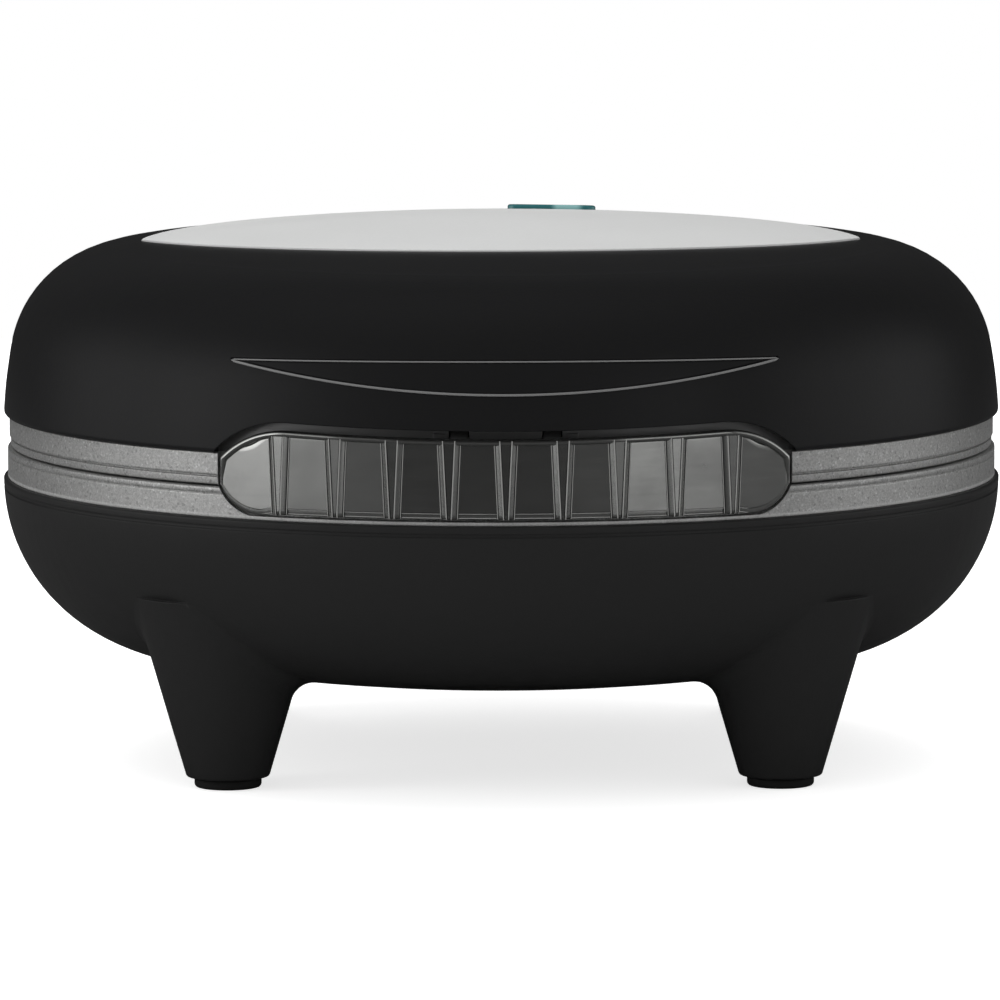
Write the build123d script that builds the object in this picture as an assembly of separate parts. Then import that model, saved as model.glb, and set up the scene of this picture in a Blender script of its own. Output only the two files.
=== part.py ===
from build123d import *
import os
from math import cos, hypot, radians, sin, sqrt

# Overall form: round in plan, heights stacked from the table up
BODY_R = 111.0
BOWL_CLEAR = 16.5
BOWL_DEPTH = 45.5
LOWER_BAND_H = 6.8
UPPER_BAND_H = 7.1
LID_H = 42.9
SPLIT_GAP = 0.4
WALL = 2.4

# Shell outlines: a side arc, a corner arc and a crown arc, each tangent to the next
LID_SIDE_R = 118.9
LID_SIDE_DROP = 6.0
LID_CORNER_R = 26.6
LID_CROWN_R = 711.5
BOWL_SIDE_R = 204.7
BOWL_SIDE_RISE = 4.1
BOWL_CORNER_R = 38.7
BOWL_CROWN_R = 452.0
LIP_ROUND = 0.9
RIM_BEAD_H = 1.6
RIM_GROOVE_H = 0.8
RIM_GROOVE_DEPTH = 0.3
RIM_ROUND = 0.5

# Silver bands that carry the plates
LOWER_BAND_SETBACK = 1.0
UPPER_BAND_SETBACK = 1.4
BAND_INNER_SETBACK = 5.4
LEDGE_W = 4.1
LEDGE_T = 2.2
SPIGOT_H = 5.0
BAND_LINE_W = 0.35
BAND_LINE_DEPTH = 0.4
LOWER_LINE_DROP = 1.5
UPPER_STRIP_H = 1.9
UPPER_STRIP_SINK = 0.3

# Cooking plates with two half-moon pans each
PLATE_FACE_GAP = 0.4
FLANGE_T = 3.2
PAN_LAND = 15.3
PAN_WALL = 2.5
PAN_DRAFT = 12.0
PAN_CORNER_R = 16.0
PAN_FLOOR_ROUND = 4.0
DIVIDER_W = 12.0
LOWER_PAN_DEPTH = 16.0
UPPER_PAN_DEPTH = 12.0
BOSS_NEAR_Y = 36.0
BOSS_FAR_Y = 76.0
PLATE_BOSS_R = 4.4
PLATE_BOSS_END = 20.5
SENSOR_BOSS_R = 9.0
SENSOR_BOSS_END = 19.5

# Heaters under and over the plates
HEATER_R = 3.25
HEATER_BEND_R = 36.0
HEATER_TAIL_X = 12.0
HEATER_TAIL_L = 18.0
HEATER_TAIL_BEND_R = 8.0
CLIP_T = 1.0
CLIP_W = 8.0
CLIP_FOOT = 5.0
CLIP_Y = 22.0
SHIELD_DROP = 30.5
SHIELD_IN = 10.0
SHIELD_T = 0.8
SHIELD_RIM_H = 5.0
POST_XY = 45.0
POST_R = 3.2

# Screws
SCREW_R = 1.6
SCREW_HEAD_R = 2.8
SCREW_HEAD_H = 2.0
SCREW_BITE = 10.0
SMALL_SCREW_R = 1.2
SMALL_HEAD_R = 2.3
SMALL_HEAD_H = 1.4
SMALL_BITE = 5.0
WELL_R = 3.4
WELL_TOP = 12.0
SHELL_BOSS_R = 5.2
LID_BOSS_R = 4.2

# Legs and pads
LEG_SETBACK = 24.7
LEG_ANGLE = 45.94
LEG_TIP_R = 9.0
LEG_TAPER = 0.293
LEG_RUN = 40.0
LEG_FILLET = 5.0
LEG_TIP_ROUND = 0.8
LEG_FLOOR = 5.0
PAD_H = 2.3
PAD_R = 7.3
PAD_ROUND = 0.8
PAD_STEM_R = 3.0
PAD_STEM_H = 4.0

# Hinge behind the body
HINGE_OUT = 7.0
HINGE_R = 5.0
HINGE_PIN_R = 1.5
HINGE_X = 26.0
KNUCKLE_W = 12.0
EAR_W = 4.0
EAR_FOOT_H = 22.0
PIN_HEAD_R = 2.6
PIN_HEAD_T = 1.2

# Latch grip at the front, hung on a pin inside the lid
GRIP_HALF = 60.6
GRIP_FLAT_HALF = 50.0
GRIP_CREST_HALF = 47.0
GRIP_BOTTOM = 1.5
GRIP_LOW_CORNER = (57.6, 3.1)
GRIP_SIDE_LOW = 7.5
GRIP_SIDE_HIGH = 13.7
GRIP_HIGH_CORNER = (56.2, 17.2)
GRIP_CREST = 19.6
GRIP_DIP = 18.7
GRIP_BEHIND = 2.0
GRIP_T = 1.6
GRIP_RIM_W = 1.2
GRIP_RIM_PROUD = 0.5
RIB_PROUD = 0.8
RIB_COUNT = 9
RIB_PITCH = 12.0
RIB_TOP_W = 4.3
RIB_BOTTOM_W = 1.7
GRIP_GAP = 1.0
GRIP_TOP_GAP = 1.5
POCKET_WALL = 2.0
LATCH_PIN_IN = 2.6
LATCH_PIN_RISE = 10.7
LATCH_PIN_R = 1.0
LATCH_EYE_R = 2.6
LATCH_EAR_X = 9.85
LATCH_EAR_W = 3.7
LATCH_LUG_W = 3.4
HOOK_HALF = 9.0
HOOK_T = 2.0
CATCH_GAP = 0.7
CATCH_T = 1.6

# Crescent line on the lid front, heights above the lip
CRESCENT_HALF = 58.0
CRESCENT_TIP_Z = 20.0
CRESCENT_TOP_Z = 20.8
CRESCENT_LOW_Z = 13.9
CRESCENT_LINE_W = 0.6
CRESCENT_DEPTH = 0.4

# Satin panel on the crown, and the lamp lens in it
PANEL_HALF = 80.0
PANEL_FRONT = 58.0
PANEL_BACK = 67.0
PANEL_T = 1.0
PANEL_PROUD = 0.4
PANEL_GAP = 0.25
LENS_X = 12.0
LENS_Y = 50.0
LENS_L = 20.0
LENS_W = 7.0
LENS_CORNER_R = 2.0
LENS_PROUD = 1.0
LENS_LIP = 1.0
LENS_LIP_T = 0.6
LAMP_R = 2.3
LAMP_L = 9.0
LAMP_GAP = 1.0
TRAY_L = 36.0
TRAY_W = 14.0
TRAY_T = 3.0
TRAY_POST_X = 14.5
TRAY_POST_R = 2.6

# Controls and wiring inside the base
THERMOSTAT_R = 8.0
THERMOSTAT_H = 9.0
BLADE_W = 4.0
BLADE_T = 0.8
BLADE_H = 7.0
BLADE_X = 4.5
FUSE_R = 2.6
FUSE_L = 14.0
FUSE_X = 34.0
BLOCK_L = 34.0
BLOCK_W = 16.0
BLOCK_H = 10.0
BLOCK_Y = 56.0
BLOCK_LIFT = 9.0
BLOCK_WAYS = 3
BLOCK_PITCH = 10.0
LEAD_R = 1.2
LEAD_BEND_R = 3.0
LEAD_REACH = 5.0

# Cord gland in the rear wall
GLAND_DROP = 15.0
GLAND_BORE_R = 3.4
GLAND_NECK_R = 5.1
GLAND_FLANGE_R = 8.5
GLAND_FLANGE_T = 2.5
GLAND_NOSE_L = 8.5
GLAND_NOSE_R0 = 6.8
GLAND_NOSE_R1 = 5.2
GLAND_BARB_R = 6.0
GLAND_BARB_L = 2.6
GLAND_SEAT_R = 10.0
GLAND_SEAT_T = 9.5

# Clearances
SCREW_CLEAR = 0.2
THREAD_CLEAR = 0.05
PIN_CLEAR = 0.05
SEAT_CLEAR = 0.1
SPIGOT_CLEAR = 0.8
RUN_CLEAR = 0.3
LENS_CLEAR = 0.2
HEATER_CLEAR = 0.05
SHIELD_CLEAR = 1.0
OVERCUT = 5.0
LEVEL_TOL = 0.01

RIM_Z = BOWL_CLEAR + BOWL_DEPTH
SPLIT_Z = RIM_Z + LOWER_BAND_H
LIP_Z = SPLIT_Z + UPPER_BAND_H
LID_TOP_Z = LIP_Z + LID_H
LOWER_FACE_Z = SPLIT_Z - PLATE_FACE_GAP
UPPER_FACE_Z = SPLIT_Z + PLATE_FACE_GAP
LOWER_BAND_TOP = SPLIT_Z - SPLIT_GAP / 2
UPPER_BAND_FOOT = SPLIT_Z + SPLIT_GAP / 2
LOWER_BAND_R = BODY_R - LOWER_BAND_SETBACK
UPPER_BAND_R = BODY_R - UPPER_BAND_SETBACK
BAND_INNER_R = BODY_R - BAND_INNER_SETBACK
LEDGE_INNER_R = BAND_INNER_R - LEDGE_W
SPIGOT_R = BODY_R - WALL - SPIGOT_CLEAR
FLANGE_R = BAND_INNER_R - RUN_CLEAR
PAN_R = FLANGE_R - PAN_LAND
SHIELD_R = PAN_R - SHIELD_IN
HEATER_TAIL_END = SHIELD_R
HEATER_HALF = HEATER_TAIL_END - HEATER_TAIL_L
BOSS_YS = (-BOSS_FAR_Y, -BOSS_NEAR_Y, BOSS_NEAR_Y, BOSS_FAR_Y)
POCKET_R = BAND_INNER_R + POCKET_WALL
GRIP_INNER_R = POCKET_R + GRIP_BEHIND
GRIP_OUTER_R = GRIP_INNER_R + GRIP_T
LATCH_PIN_Y = POCKET_R - LATCH_PIN_IN
HINGE_Y = BODY_R + HINGE_OUT
LEG_X = (BODY_R - LEG_SETBACK) * cos(radians(LEG_ANGLE))
LEG_Y = (BODY_R - LEG_SETBACK) * sin(radians(LEG_ANGLE))
HINGE_Z = SPLIT_Z + SPLIT_GAP / 2
LATCH_PIN_Z = SPLIT_Z + LATCH_PIN_RISE
FRONT_REACH = GRIP_OUTER_R + RIB_PROUD
BACK_REACH = HINGE_Y + HINGE_R
AXIS_Y = (FRONT_REACH - BACK_REACH) / 2
ON_BASE = (Align.CENTER, Align.CENTER, Align.MIN)
HANGING = (Align.CENTER, Align.CENTER, Align.MAX)


class Dome:
    """A round shell outline of three tangent arcs; up is 1 for the lid and -1 for the bowl."""

    def __init__(self, up, side_r, side_z, corner_r, crown_r, apex_z):
        self.up = up
        self.side_r = side_r
        self.corner_r = corner_r
        self.crown_r = crown_r
        self.side_c = Vector(BODY_R - side_r, 0, side_z)
        self.crown_c = Vector(0, 0, apex_z - up * crown_r)
        self.corner_c = self.find_corner()

    def find_corner(self):
        """Centre of the corner arc, which touches the side and crown arcs from inside."""
        to_side = self.side_r - self.corner_r
        to_crown = self.crown_r - self.corner_r
        span = self.crown_c - self.side_c
        along = (to_side**2 - to_crown**2 + span.length**2) / (2 * span.length)
        across = sqrt(to_side**2 - along**2)
        ahead = span.normalized()
        outward = Vector(abs(ahead.Z), 0, -ahead.X * (1 if ahead.Z > 0 else -1))
        return self.side_c + ahead * along + outward * across

    def points(self, inset, lip_z):
        """Lip point, two tangent points and apex of the outline moved in by inset."""
        side_r = self.side_r - inset
        crown_r = self.crown_r - inset
        rise = lip_z - self.side_c.Z
        lip = Vector(self.side_c.X + sqrt(side_r**2 - rise**2), 0, lip_z)
        low = self.side_c + (self.corner_c - self.side_c).normalized() * side_r
        high = self.crown_c + (self.corner_c - self.crown_c).normalized() * crown_r
        apex = self.crown_c + Vector(0, 0, self.up * crown_r)
        return lip, low, high, apex

    def height(self, radius, inset=0.0):
        """Height of the crown at a distance from the axis."""
        crown_r = self.crown_r - inset
        return self.crown_c.Z + self.up * sqrt(crown_r**2 - radius**2)

    def solid(self, inset, lip_z):
        """Everything inside the outline, from the lip plane to the crown."""
        lip, low, high, apex = self.points(inset, lip_z)
        outline = [
            arc_about(self.side_c, lip, low),
            arc_about(self.corner_c, low, high),
            arc_about(self.crown_c, high, apex),
            Line(apex, Vector(0, 0, lip_z)),
            Line(Vector(0, 0, lip_z), lip),
        ]
        return revolve(make_face(outline), Axis.Z)

    def skin(self, outer_inset, inner_inset, lip_z):
        """The layer between two insets of the outline."""
        return self.solid(outer_inset, lip_z) - self.solid(inner_inset, lip_z)


def arc_about(centre, start, end):
    radius = (start - centre).length
    middle = centre + ((start - centre) + (end - centre)).normalized() * radius
    return ThreePointArc(start, middle, end)


LID = Dome(1, LID_SIDE_R, LIP_Z - LID_SIDE_DROP, LID_CORNER_R, LID_CROWN_R, LID_TOP_Z - PANEL_PROUD)
BOWL = Dome(-1, BOWL_SIDE_R, RIM_Z + BOWL_SIDE_RISE, BOWL_CORNER_R, BOWL_CROWN_R, BOWL_CLEAR)


def ring(section):
    """A turned ring from a closed list of radius and height pairs."""
    return revolve(make_face(Polyline(*[(r, 0, z) for r, z in section], close=True)), Axis.Z)


def tube(inner_r, outer_r, low, high):
    return ring([(inner_r, low), (outer_r, low), (outer_r, high), (inner_r, high)])


def post(radius, x, y, low, high):
    return Pos(x, y, low) * Cylinder(radius, high - low, align=ON_BASE)


def bar(radius, x0, x1, y, z):
    """A round bar along X."""
    return Pos(x0, y, z) * Rot(0, 90, 0) * Cylinder(radius, x1 - x0, align=ON_BASE)


def block(x0, x1, y0, y1, z0, z1):
    return Pos(x0, y0, z0) * Box(x1 - x0, y1 - y0, z1 - z0, align=(Align.MIN, Align.MIN, Align.MIN))


def flip(shape):
    """Turns a lower piece into its upper twin, upside down about its own face."""
    return mirror(shape, about=Plane.XY)


def grip_outline(grow):
    """Front view of the latch grip, in the XZ plane, grown by a gap on every side."""
    def at(x, z):
        return Vector(x, 0, RIM_Z + z)

    edges = [Line(at(-GRIP_FLAT_HALF, GRIP_BOTTOM), at(GRIP_FLAT_HALF, GRIP_BOTTOM))]
    crest = [at(-GRIP_CREST_HALF, GRIP_CREST), at(0, GRIP_DIP), at(GRIP_CREST_HALF, GRIP_CREST)]
    edges.append(ThreePointArc(*crest))
    for s in (-1, 1):
        low = at(s * GRIP_LOW_CORNER[0], GRIP_LOW_CORNER[1])
        high = at(s * GRIP_HIGH_CORNER[0], GRIP_HIGH_CORNER[1])
        side_low = at(s * GRIP_HALF, GRIP_SIDE_LOW)
        side_high = at(s * GRIP_HALF, GRIP_SIDE_HIGH)
        edges.append(ThreePointArc(at(s * GRIP_FLAT_HALF, GRIP_BOTTOM), low, side_low))
        edges.append(Line(side_low, side_high))
        edges.append(ThreePointArc(side_high, high, at(s * GRIP_CREST_HALF, GRIP_CREST)))
    face = make_face(edges)
    if grow:
        face = offset(face, amount=grow)
    return face


def front_prism(face):
    """Carries a face in the XZ plane forward past the front of the body."""
    reach = BODY_R + OVERCUT
    solid = extrude(face, amount=reach, dir=(0, -1, 0))
    return solid - block(-reach, reach, -reach / 2, 0, 0, 2 * LID_TOP_Z)


def half_moon(grow):
    """Plan of one pan, on the +X side of the divider."""
    straight = DIVIDER_W / 2 - grow
    disc = Circle(PAN_R + grow) & Pos(straight, 0) * Rectangle(
        2 * BODY_R, 2 * BODY_R, align=(Align.MIN, Align.CENTER)
    )
    corners = disc.vertices()
    return fillet(corners, radius=PAN_CORNER_R + grow)


def pans(grow, depth):
    moon = extrude(half_moon(grow), amount=-depth, taper=PAN_DRAFT)
    if not grow:
        moon = fillet(moon.faces().sort_by(Axis.Z)[0].edges(), radius=PAN_FLOOR_ROUND)
    return moon + mirror(moon, about=Plane.YZ)


def cooking_plate(depth):
    """Cast plate with its face at z = 0 and its pans hanging below."""
    plate = Cylinder(FLANGE_R, FLANGE_T, align=HANGING)
    plate += pans(PAN_WALL, depth + PAN_WALL)
    for y in BOSS_YS:
        plate += post(PLATE_BOSS_R, 0, y, -PLATE_BOSS_END, 0)
    plate += post(SENSOR_BOSS_R, 0, 0, -SENSOR_BOSS_END, 0)
    return plate - pans(0, depth)


def make_lower_plate():
    plate = cooking_plate(LOWER_PAN_DEPTH)
    end = -PLATE_BOSS_END
    for y in BOSS_YS:
        plate -= post(SCREW_R + THREAD_CLEAR, 0, y, end - OVERCUT, end + SCREW_BITE)
    return Pos(0, 0, LOWER_FACE_Z) * plate


def make_upper_plate():
    plate = cooking_plate(UPPER_PAN_DEPTH)
    for y in BOSS_YS:
        plate -= post(SCREW_R + SCREW_CLEAR, 0, y, -PLATE_BOSS_END - OVERCUT, OVERCUT)
        plate -= post(SCREW_HEAD_R + SCREW_CLEAR, 0, y, -SCREW_HEAD_H, OVERCUT)
    return Pos(0, 0, UPPER_FACE_Z) * flip(plate)


def heater(depth):
    """Sheathed element bent into a loop, touching the undersides of the pans."""
    z = -depth - PAN_WALL - HEATER_R - HEATER_CLEAR
    half = HEATER_HALF
    tail = HEATER_TAIL_X
    end = HEATER_TAIL_END
    route = [(tail, end), (tail, half), (half, half), (half, -half)]
    route += [(-x, y) for x, y in reversed(route)]
    bends = [HEATER_TAIL_BEND_R] + [HEATER_BEND_R] * 4 + [HEATER_TAIL_BEND_R]
    path = FilletPolyline(*[(x, y, z) for x, y in route], radius=bends)
    section = Plane(path @ 0, z_dir=path % 0) * Circle(HEATER_R)
    return sweep(section, path)


def strap(radius, depth):
    """A bent strip that holds a round piece of this radius up against a pan, its feet at z = 0."""
    inner = radius + HEATER_CLEAR
    outer = inner + CLIP_T
    drop = radius + HEATER_CLEAR
    body = Pos(0, 0, -drop / 2) * Box(2 * outer, CLIP_W, drop)
    body += Pos(0, 0, -drop) * Rot(90, 0, 0) * Cylinder(outer, CLIP_W)
    body += Pos(0, 0, -CLIP_T / 2) * Box(2 * (outer + CLIP_FOOT), CLIP_W, CLIP_T)
    body -= Pos(0, 0, OVERCUT / 2 - drop / 2) * Box(2 * inner, 2 * CLIP_W, drop + OVERCUT)
    body -= Pos(0, 0, -drop) * Rot(90, 0, 0) * Cylinder(inner, 2 * CLIP_W)
    return Pos(0, 0, -depth - PAN_WALL) * body


def heater_clips(depth):
    clip = strap(HEATER_R, depth)
    return [Pos(sx * HEATER_HALF, sy * CLIP_Y, 0) * clip for sx in (-1, 1) for sy in (-1, 1)]


def heat_shield(boss_r):
    """Thin dish that keeps the heat off the shell, with its rim turned up towards the plate."""
    top = -SHIELD_DROP
    foot = top - SHIELD_T
    dish = post(SHIELD_R, 0, 0, foot, top)
    dish += tube(SHIELD_R - SHIELD_T, SHIELD_R, foot, top + SHIELD_RIM_H)
    dish -= post(THERMOSTAT_R + SHIELD_CLEAR, 0, 0, foot - OVERCUT, top + OVERCUT)
    for y in BOSS_YS:
        dish -= post(boss_r + SHIELD_CLEAR, 0, y, foot - OVERCUT, top + OVERCUT)
    for x, y in post_places():
        dish -= post(SMALL_SCREW_R + SCREW_CLEAR, x, y, foot - OVERCUT, top + OVERCUT)
    return dish


def post_places():
    return [(sx * POST_XY, sy * POST_XY) for sx in (-1, 1) for sy in (-1, 1)]


def screw(shaft_r, head_r, head_h, length):
    """A pan-head screw standing on its head: head below z = 0, shaft above."""
    return post(shaft_r, 0, 0, 0, length) + post(head_r, 0, 0, -head_h, 0)


def shield_screws():
    """Screws that go down through the shield, heads on its plate side."""
    one = flip(screw(SMALL_SCREW_R, SMALL_HEAD_R, SMALL_HEAD_H, SMALL_BITE + SHIELD_T))
    return [Pos(x, y, -SHIELD_DROP) * one for x, y in post_places()]


def make_hinge_web(x, width, foot_z, guard_low, guard_high):
    """A hinge arm: a round eye on the hinge axis, drawn in to a foot on the shell."""
    eye = Pos(HINGE_Y, HINGE_Z) * Circle(HINGE_R)
    foot = Pos(BODY_R - 2 * WALL, foot_z) * Rectangle(2 * WALL, EAR_FOOT_H)
    web = Plane.YZ.offset(x - width / 2) * make_hull((eye + foot).edges())
    arm = extrude(web, amount=width, dir=(1, 0, 0))
    return arm - tube(0, BODY_R + RUN_CLEAR, guard_low, guard_high)


def base_ears():
    foot_z = RIM_Z - RIM_BEAD_H - RIM_GROOVE_H - EAR_FOOT_H / 2
    offset_x = KNUCKLE_W / 2 + RUN_CLEAR + EAR_W / 2
    places = [s * HINGE_X + d * offset_x for s in (-1, 1) for d in (-1, 1)]
    return [make_hinge_web(x, EAR_W, foot_z, RIM_Z, LID_TOP_Z) for x in places]


def lid_knuckles():
    foot_z = LIP_Z + RIM_BEAD_H + EAR_FOOT_H / 2
    return [make_hinge_web(s * HINGE_X, KNUCKLE_W, foot_z, 0, LIP_Z) for s in (-1, 1)]


def hinge_bore():
    reach = HINGE_X + KNUCKLE_W
    return bar(HINGE_PIN_R + PIN_CLEAR, -reach, reach, HINGE_Y, HINGE_Z)


def make_hinge_pins():
    near = HINGE_X - KNUCKLE_W / 2 - RUN_CLEAR - EAR_W
    far = HINGE_X + KNUCKLE_W / 2 + RUN_CLEAR + EAR_W
    pin = bar(HINGE_PIN_R, near, far, HINGE_Y, HINGE_Z)
    pin += bar(PIN_HEAD_R, far, far + PIN_HEAD_T, HINGE_Y, HINGE_Z)
    return [pin, mirror(pin, about=Plane.YZ)]


def leg_places():
    return [(sx * LEG_X, sy * LEG_Y) for sx in (-1, 1) for sy in (-1, 1)]


def leg_cone(x, y, inset, low):
    """A leg's outside, or its hollow when inset, from a height up into the bowl."""
    high = PAD_H + LEG_RUN
    low_r = LEG_TIP_R + LEG_TAPER * (low - PAD_H) - inset
    high_r = LEG_TIP_R + LEG_TAPER * LEG_RUN - inset
    return Pos(x, y, low) * Cone(low_r, high_r, high - low, align=ON_BASE)


def gland_bar(radius, back, front):
    """A round piece along Y on the cord gland's axis."""
    z = RIM_Z - GLAND_DROP
    return Pos(0, back, z) * Rot(-90, 0, 0) * Cylinder(radius, front - back, align=ON_BASE)


def make_lower_shell():
    shell = BOWL.solid(0, RIM_Z)
    for x, y in leg_places():
        shell += leg_cone(x, y, 0, PAD_H)
    creases = shell.edges().filter_by(lambda e: is_leg_crease(e))
    shell = fillet(creases, radius=LEG_FILLET)
    tips = level_edges(shell, PAD_H).filter_by(GeomType.CIRCLE)
    shell = fillet(tips, radius=LEG_TIP_ROUND)
    shell = fillet(level_edges(shell, RIM_Z), radius=RIM_ROUND)
    for ear in base_ears():
        shell += ear
    shell += gland_bar(GLAND_SEAT_R, BODY_R - GLAND_SEAT_T, BODY_R)
    hollow = BOWL.solid(WALL, RIM_Z + OVERCUT)
    for x, y in leg_places():
        hollow += leg_cone(x, y, WALL, PAD_H + LEG_FLOOR)
    shell -= hollow - gland_bar(GLAND_SEAT_R, BODY_R - GLAND_SEAT_T, BODY_R)
    shell += base_inner_bosses()
    for x, y in leg_places():
        shell -= post(PAD_STEM_R + SEAT_CLEAR, x, y, 0, PAD_H + PAD_STEM_H)
    for y in BOSS_YS:
        shell -= post(WELL_R, 0, y, 0, BOWL_CLEAR + WELL_TOP)
        shell -= post(SCREW_R + SCREW_CLEAR, 0, y, 0, RIM_Z)
    for x, y in post_places():
        top = LOWER_FACE_Z - SHIELD_DROP - SHIELD_T
        shell -= post(SMALL_SCREW_R + THREAD_CLEAR, x, y, top - SMALL_BITE - SEAT_CLEAR, top)
    shell -= gland_bar(GLAND_NECK_R + SEAT_CLEAR, BODY_R - 2 * GLAND_SEAT_T, BODY_R + OVERCUT)
    shell -= hinge_bore()
    groove_top = RIM_Z - RIM_BEAD_H
    groove = tube(BODY_R - RIM_GROOVE_DEPTH, BODY_R + OVERCUT, groove_top - RIM_GROOVE_H, groove_top)
    return shell - (groove - rear_keep())


def level_edges(shape, z):
    """The edges of a shape that lie at one height."""
    return shape.edges().filter_by_position(Axis.Z, z - LEVEL_TOL, z + LEVEL_TOL)


def is_leg_crease(edge):
    """True for the closed curves where a leg runs out of the bowl."""
    box = edge.bounding_box()
    span = max(box.size.X, box.size.Y)
    return 2 * LEG_TIP_R < span < BODY_R / 2 and box.min.Z > PAD_H + LEG_TIP_ROUND


def rear_keep():
    """The stretch of wall behind the hinge arms, where the rim groove stops short."""
    reach = HINGE_X + KNUCKLE_W
    return block(-reach, reach, 0, BODY_R + OVERCUT, 0, LID_TOP_Z)


def base_inner_bosses():
    """Screw bosses, shield posts and the terminal seat, rising from the bowl's floor."""
    inside = BOWL.solid(WALL / 2, RIM_Z)
    group = []
    for y in BOSS_YS:
        group.append(post(SHELL_BOSS_R, 0, y, 0, LOWER_FACE_Z - PLATE_BOSS_END) & inside)
    for x, y in post_places():
        group.append(post(POST_R, x, y, 0, LOWER_FACE_Z - SHIELD_DROP - SHIELD_T) & inside)
    half = BLOCK_L / 2 - CLIP_T
    deep = BLOCK_W / 2 - CLIP_T
    group.append(block(-half, half, BLOCK_Y - deep, BLOCK_Y + deep, 0, BOWL_CLEAR + BLOCK_LIFT) & inside)
    return group


def make_foot_pads():
    pad = Cylinder(PAD_R, PAD_H, align=ON_BASE)
    pad = fillet(pad.edges().sort_by(Axis.Z)[0], radius=PAD_ROUND)
    pad += post(PAD_STEM_R, 0, 0, PAD_H, PAD_H + PAD_STEM_H - SEAT_CLEAR)
    return [Pos(x, y, 0) * pad for x, y in leg_places()]


def make_lower_band():
    ledge = LOWER_FACE_Z - FLANGE_T
    band = ring([
        (LOWER_BAND_R, RIM_Z),
        (LOWER_BAND_R, LOWER_BAND_TOP),
        (BAND_INNER_R, LOWER_BAND_TOP),
        (BAND_INNER_R, ledge),
        (LEDGE_INNER_R, ledge),
        (LEDGE_INNER_R, ledge - LEDGE_T),
        (BAND_INNER_R, ledge - LEDGE_T),
        (BAND_INNER_R, RIM_Z - SPIGOT_H),
        (SPIGOT_R, RIM_Z - SPIGOT_H),
        (SPIGOT_R, RIM_Z),
    ])
    line = SPLIT_Z - LOWER_LINE_DROP
    band -= tube(LOWER_BAND_R - BAND_LINE_DEPTH, BODY_R, line - BAND_LINE_W, line)
    band -= front_prism(grip_outline(GRIP_GAP)) & tube(POCKET_R, BODY_R + OVERCUT, 0, LID_TOP_Z)
    slot_half = HOOK_HALF + GRIP_GAP
    slot_top = LOWER_BAND_TOP - CATCH_T
    slot_back = -BAND_INNER_R + RUN_CLEAR
    return band - block(-slot_half, slot_half, -BODY_R, slot_back, RIM_Z + GRIP_BOTTOM, slot_top)


def make_upper_band():
    ledge = UPPER_FACE_Z + FLANGE_T
    band = ring([
        (UPPER_BAND_R - UPPER_STRIP_SINK, UPPER_BAND_FOOT),
        (UPPER_BAND_R - UPPER_STRIP_SINK, SPLIT_Z + UPPER_STRIP_H),
        (UPPER_BAND_R, SPLIT_Z + UPPER_STRIP_H),
        (UPPER_BAND_R, LIP_Z),
        (SPIGOT_R, LIP_Z),
        (SPIGOT_R, LIP_Z + SPIGOT_H),
        (BAND_INNER_R, LIP_Z + SPIGOT_H),
        (BAND_INNER_R, ledge + LEDGE_T),
        (LEDGE_INNER_R, ledge + LEDGE_T),
        (LEDGE_INNER_R, ledge),
        (BAND_INNER_R, ledge),
        (BAND_INNER_R, UPPER_BAND_FOOT),
    ])
    line = SPLIT_Z + UPPER_STRIP_H
    band -= tube(UPPER_BAND_R - 2 * BAND_LINE_DEPTH, BODY_R, line, line + BAND_LINE_W)
    band -= front_prism(grip_outline(GRIP_GAP)) & tube(POCKET_R, BODY_R + OVERCUT, 0, LID_TOP_Z)
    lug_mid = LATCH_EAR_X + (LATCH_EAR_W + LATCH_LUG_W) / 2 + RUN_CLEAR
    slot_half = lug_mid - LATCH_LUG_W / 2
    slot_low = LATCH_PIN_Z - LATCH_EYE_R - 2 * RUN_CLEAR
    band -= block(-slot_half, slot_half, -BODY_R, -LATCH_PIN_Y + 2 * LATCH_EYE_R, slot_low, LID_TOP_Z)
    for s in (-1, 1):
        lug = latch_eye(s * lug_mid, LATCH_LUG_W)
        wall_y = -sqrt(BAND_INNER_R**2 - lug_mid**2)
        x0 = s * lug_mid - LATCH_LUG_W / 2
        lug_front = -LATCH_PIN_Y + LATCH_EYE_R
        lug += block(x0, x0 + LATCH_LUG_W, wall_y, lug_front, ledge + LEDGE_T, LATCH_PIN_Z)
        band += lug & tube(0, POCKET_R, 0, LID_TOP_Z)
    return band - latch_bar(LATCH_PIN_R + PIN_CLEAR)


def latch_eye(x, width):
    return bar(LATCH_EYE_R, x - width / 2, x + width / 2, -LATCH_PIN_Y, LATCH_PIN_Z)


def latch_bar(radius):
    half = LATCH_EAR_X + LATCH_EAR_W / 2 + RUN_CLEAR + LATCH_LUG_W
    return bar(radius, -half, half, -LATCH_PIN_Y, LATCH_PIN_Z)


def grip_ribs():
    """Tapering ribs, wide at the top, that run from edge to edge of the grip."""
    low = RIM_Z + GRIP_BOTTOM
    high = RIM_Z + GRIP_CREST
    skin = tube(GRIP_OUTER_R - RIB_PROUD, GRIP_OUTER_R + RIB_PROUD, low, high)
    first = -(RIB_COUNT - 1) / 2
    wedges = None
    for i in range(RIB_COUNT):
        x = (first + i) * RIB_PITCH
        corners = [(x - RIB_BOTTOM_W / 2, low), (x + RIB_BOTTOM_W / 2, low)]
        corners += [(x + RIB_TOP_W / 2, high), (x - RIB_TOP_W / 2, high)]
        face = make_face(Polyline(*[(px, 0, pz) for px, pz in corners], close=True))
        wedge = front_prism(face)
        wedges = wedge if wedges is None else wedges + wedge
    return skin & wedges & front_prism(grip_outline(0))


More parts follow.
